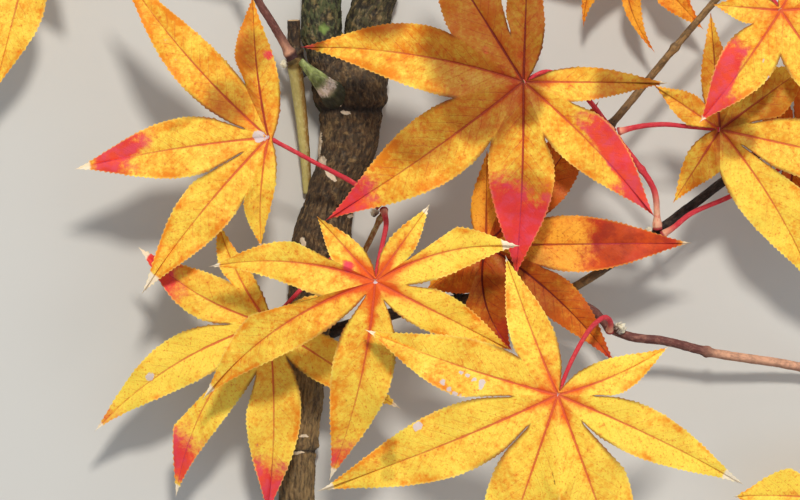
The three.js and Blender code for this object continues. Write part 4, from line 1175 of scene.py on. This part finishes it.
class MAPLE_OT_stalks(bpy.types.Operator):
    """Runs a stalk from the twigs to the hub of each leaf"""

    bl_idname = "maple.stalks"
    bl_label = "Leaf stalks"

    def execute(self, context):
        wood = context.scene.maple_wood
        tree = bpy.data.node_groups.get("Twig tube") or twig_tree()
        for seed, (name, ((x, y, z), _, _, route, _)) in enumerate(LEAVES.items()):
            node = name.replace("leaf", "stalk")
            line = twig_line(node, route + [(x, y, z - 0.2)], STALK_RADIUS, [], (0.12, 0.0), wood.twig_step,
                             STALK_SINK, (STALK_FOOT, STALK_END), (0.2, 0.8))
            item = new_object(f"{node}_skin", line)
            run_tree(item, tree, {
                "Sides": wood.twig_sides, "Ridge Height": wood.twig_relief * 0.5, "Ridge Size": 0.0004,
                "Ridge Stretch": 8.0, "Lump Height": wood.twig_relief, "Lump Size": 0.003,
                "Seed": 1.3 + 0.1 * seed, "Material": bark_material("stalk")})
            finish_piece(item, node, 60)
        return {"FINISHED"}


class MAPLE_OT_leaves(bpy.types.Operator):
    """Spreads the leaves, each a thin toothed blade with ribs, veins and autumn tints"""

    bl_idname = "maple.leaves"
    bl_label = "Leaves"

    def execute(self, context):
        settings = context.scene.maple_leaf
        tree = blade_tree()
        for seed, (name, leaf) in enumerate(LEAVES.items()):
            item = new_object(f"{name}_blade", blade_mesh(name, leaf, settings))
            run_tree(item, tree, {
                "Ripple Height": 0.0007, "Ripple Size": 0.011, "Crinkle Height": 0.00016,
                "Crinkle Size": 0.0026, "Seed": 0.2 * seed,
                "Material": leaf_material(leaf[2], settings.vein_pitch)})
            finish_piece(item, name, 50)
        return {"FINISHED"}


class MAPLE_OT_stage(bpy.types.Operator):
    """Lays the floor and sets the lights and the camera"""

    bl_idname = "maple.stage"
    bl_label = "Floor, lights and camera"

    def execute(self, context):
        stage, scene = context.scene.maple_stage, context.scene
        bpy.ops.mesh.primitive_plane_add(size=60.0, location=(0, 0, -0.0004))
        floor = context.object
        floor.name = "floor"
        cover = bpy.data.materials.new("pale floor")
        cover.use_nodes = True
        principled = cover.node_tree.nodes["Principled BSDF"]
        principled.inputs["Base Color"].default_value = (*stage.floor_colour, 1)
        principled.inputs["Roughness"].default_value = 0.9
        floor.data.materials.append(cover)
        lamps = [("key light", (0.05, 0.72, 1.42), 0.2, stage.key_power, (1.0, 0.95, 0.87)),
                 ("fill light", (1.1, -0.8, 0.9), 1.2, stage.fill_power, (0.92, 0.96, 1.0)),
                 ("rim light", (0.5, 1.2, 0.6), 0.8, stage.fill_power * 0.7, (1.0, 0.98, 0.94))]
        for name, place, size, power, colour in lamps:
            lamp = bpy.data.lights.new(name, "AREA")
            lamp.shape, lamp.size, lamp.energy, lamp.color = "DISK", size, power, colour
            item = new_object(name, lamp)
            item.location = place
            x, y, z = place
            item.rotation_euler = (math.atan2(math.hypot(x, y), z), 0, math.atan2(-y, -x) - math.pi / 2)
        world = bpy.data.worlds.new("pale room")
        world.use_nodes = True
        world.node_tree.nodes["Background"].inputs[0].default_value = (0.86, 0.9, 0.95, 1)
        world.node_tree.nodes["Background"].inputs[1].default_value = stage.room_light
        scene.world = world
        scene.view_settings.view_transform = "Standard"
        camera = bpy.data.cameras.new("camera")
        camera.lens, camera.sensor_width = stage.lens, 36.0
        camera.clip_start, camera.clip_end = 0.05, 60.0
        item = new_object("camera", camera)
        item.location = (SHIFT[0], SHIFT[1], stage.camera_height)
        scene.camera = item
        return {"FINISHED"}


STEPS = (MAPLE_OT_stage, MAPLE_OT_limb, MAPLE_OT_twigs, MAPLE_OT_buds, MAPLE_OT_stalks, MAPLE_OT_leaves)


class MAPLE_PT_panel(bpy.types.Panel):
    """Lists the steps that dress the branch"""

    bl_idname = "MAPLE_PT_panel"
    bl_label = "Japanese maple branch"
    bl_space_type = "VIEW_3D"
    bl_region_type = "UI"
    bl_category = "Maple"

    def draw(self, context):
        for step in STEPS:
            self.layout.operator(step.bl_idname)


CLASSES = (MapleWoodSettings, MapleLeafSettings, MapleStageSettings, *STEPS, MAPLE_PT_panel)


def register():
    for item in CLASSES:
        bpy.utils.register_class(item)
    bpy.types.Scene.maple_wood = PointerProperty(type=MapleWoodSettings)
    bpy.types.Scene.maple_leaf = PointerProperty(type=MapleLeafSettings)
    bpy.types.Scene.maple_stage = PointerProperty(type=MapleStageSettings)


def unregister():
    del bpy.types.Scene.maple_stage
    del bpy.types.Scene.maple_leaf
    del bpy.types.Scene.maple_wood
    for item in reversed(CLASSES):
        bpy.utils.unregister_class(item)


def main():
    register()
    bpy.ops.maple.stage()
    bpy.ops.maple.limb()
    bpy.ops.maple.twigs()
    bpy.ops.maple.buds()
    bpy.ops.maple.stalks()
    bpy.ops.maple.leaves()


if __name__ == "__main__":
    main()
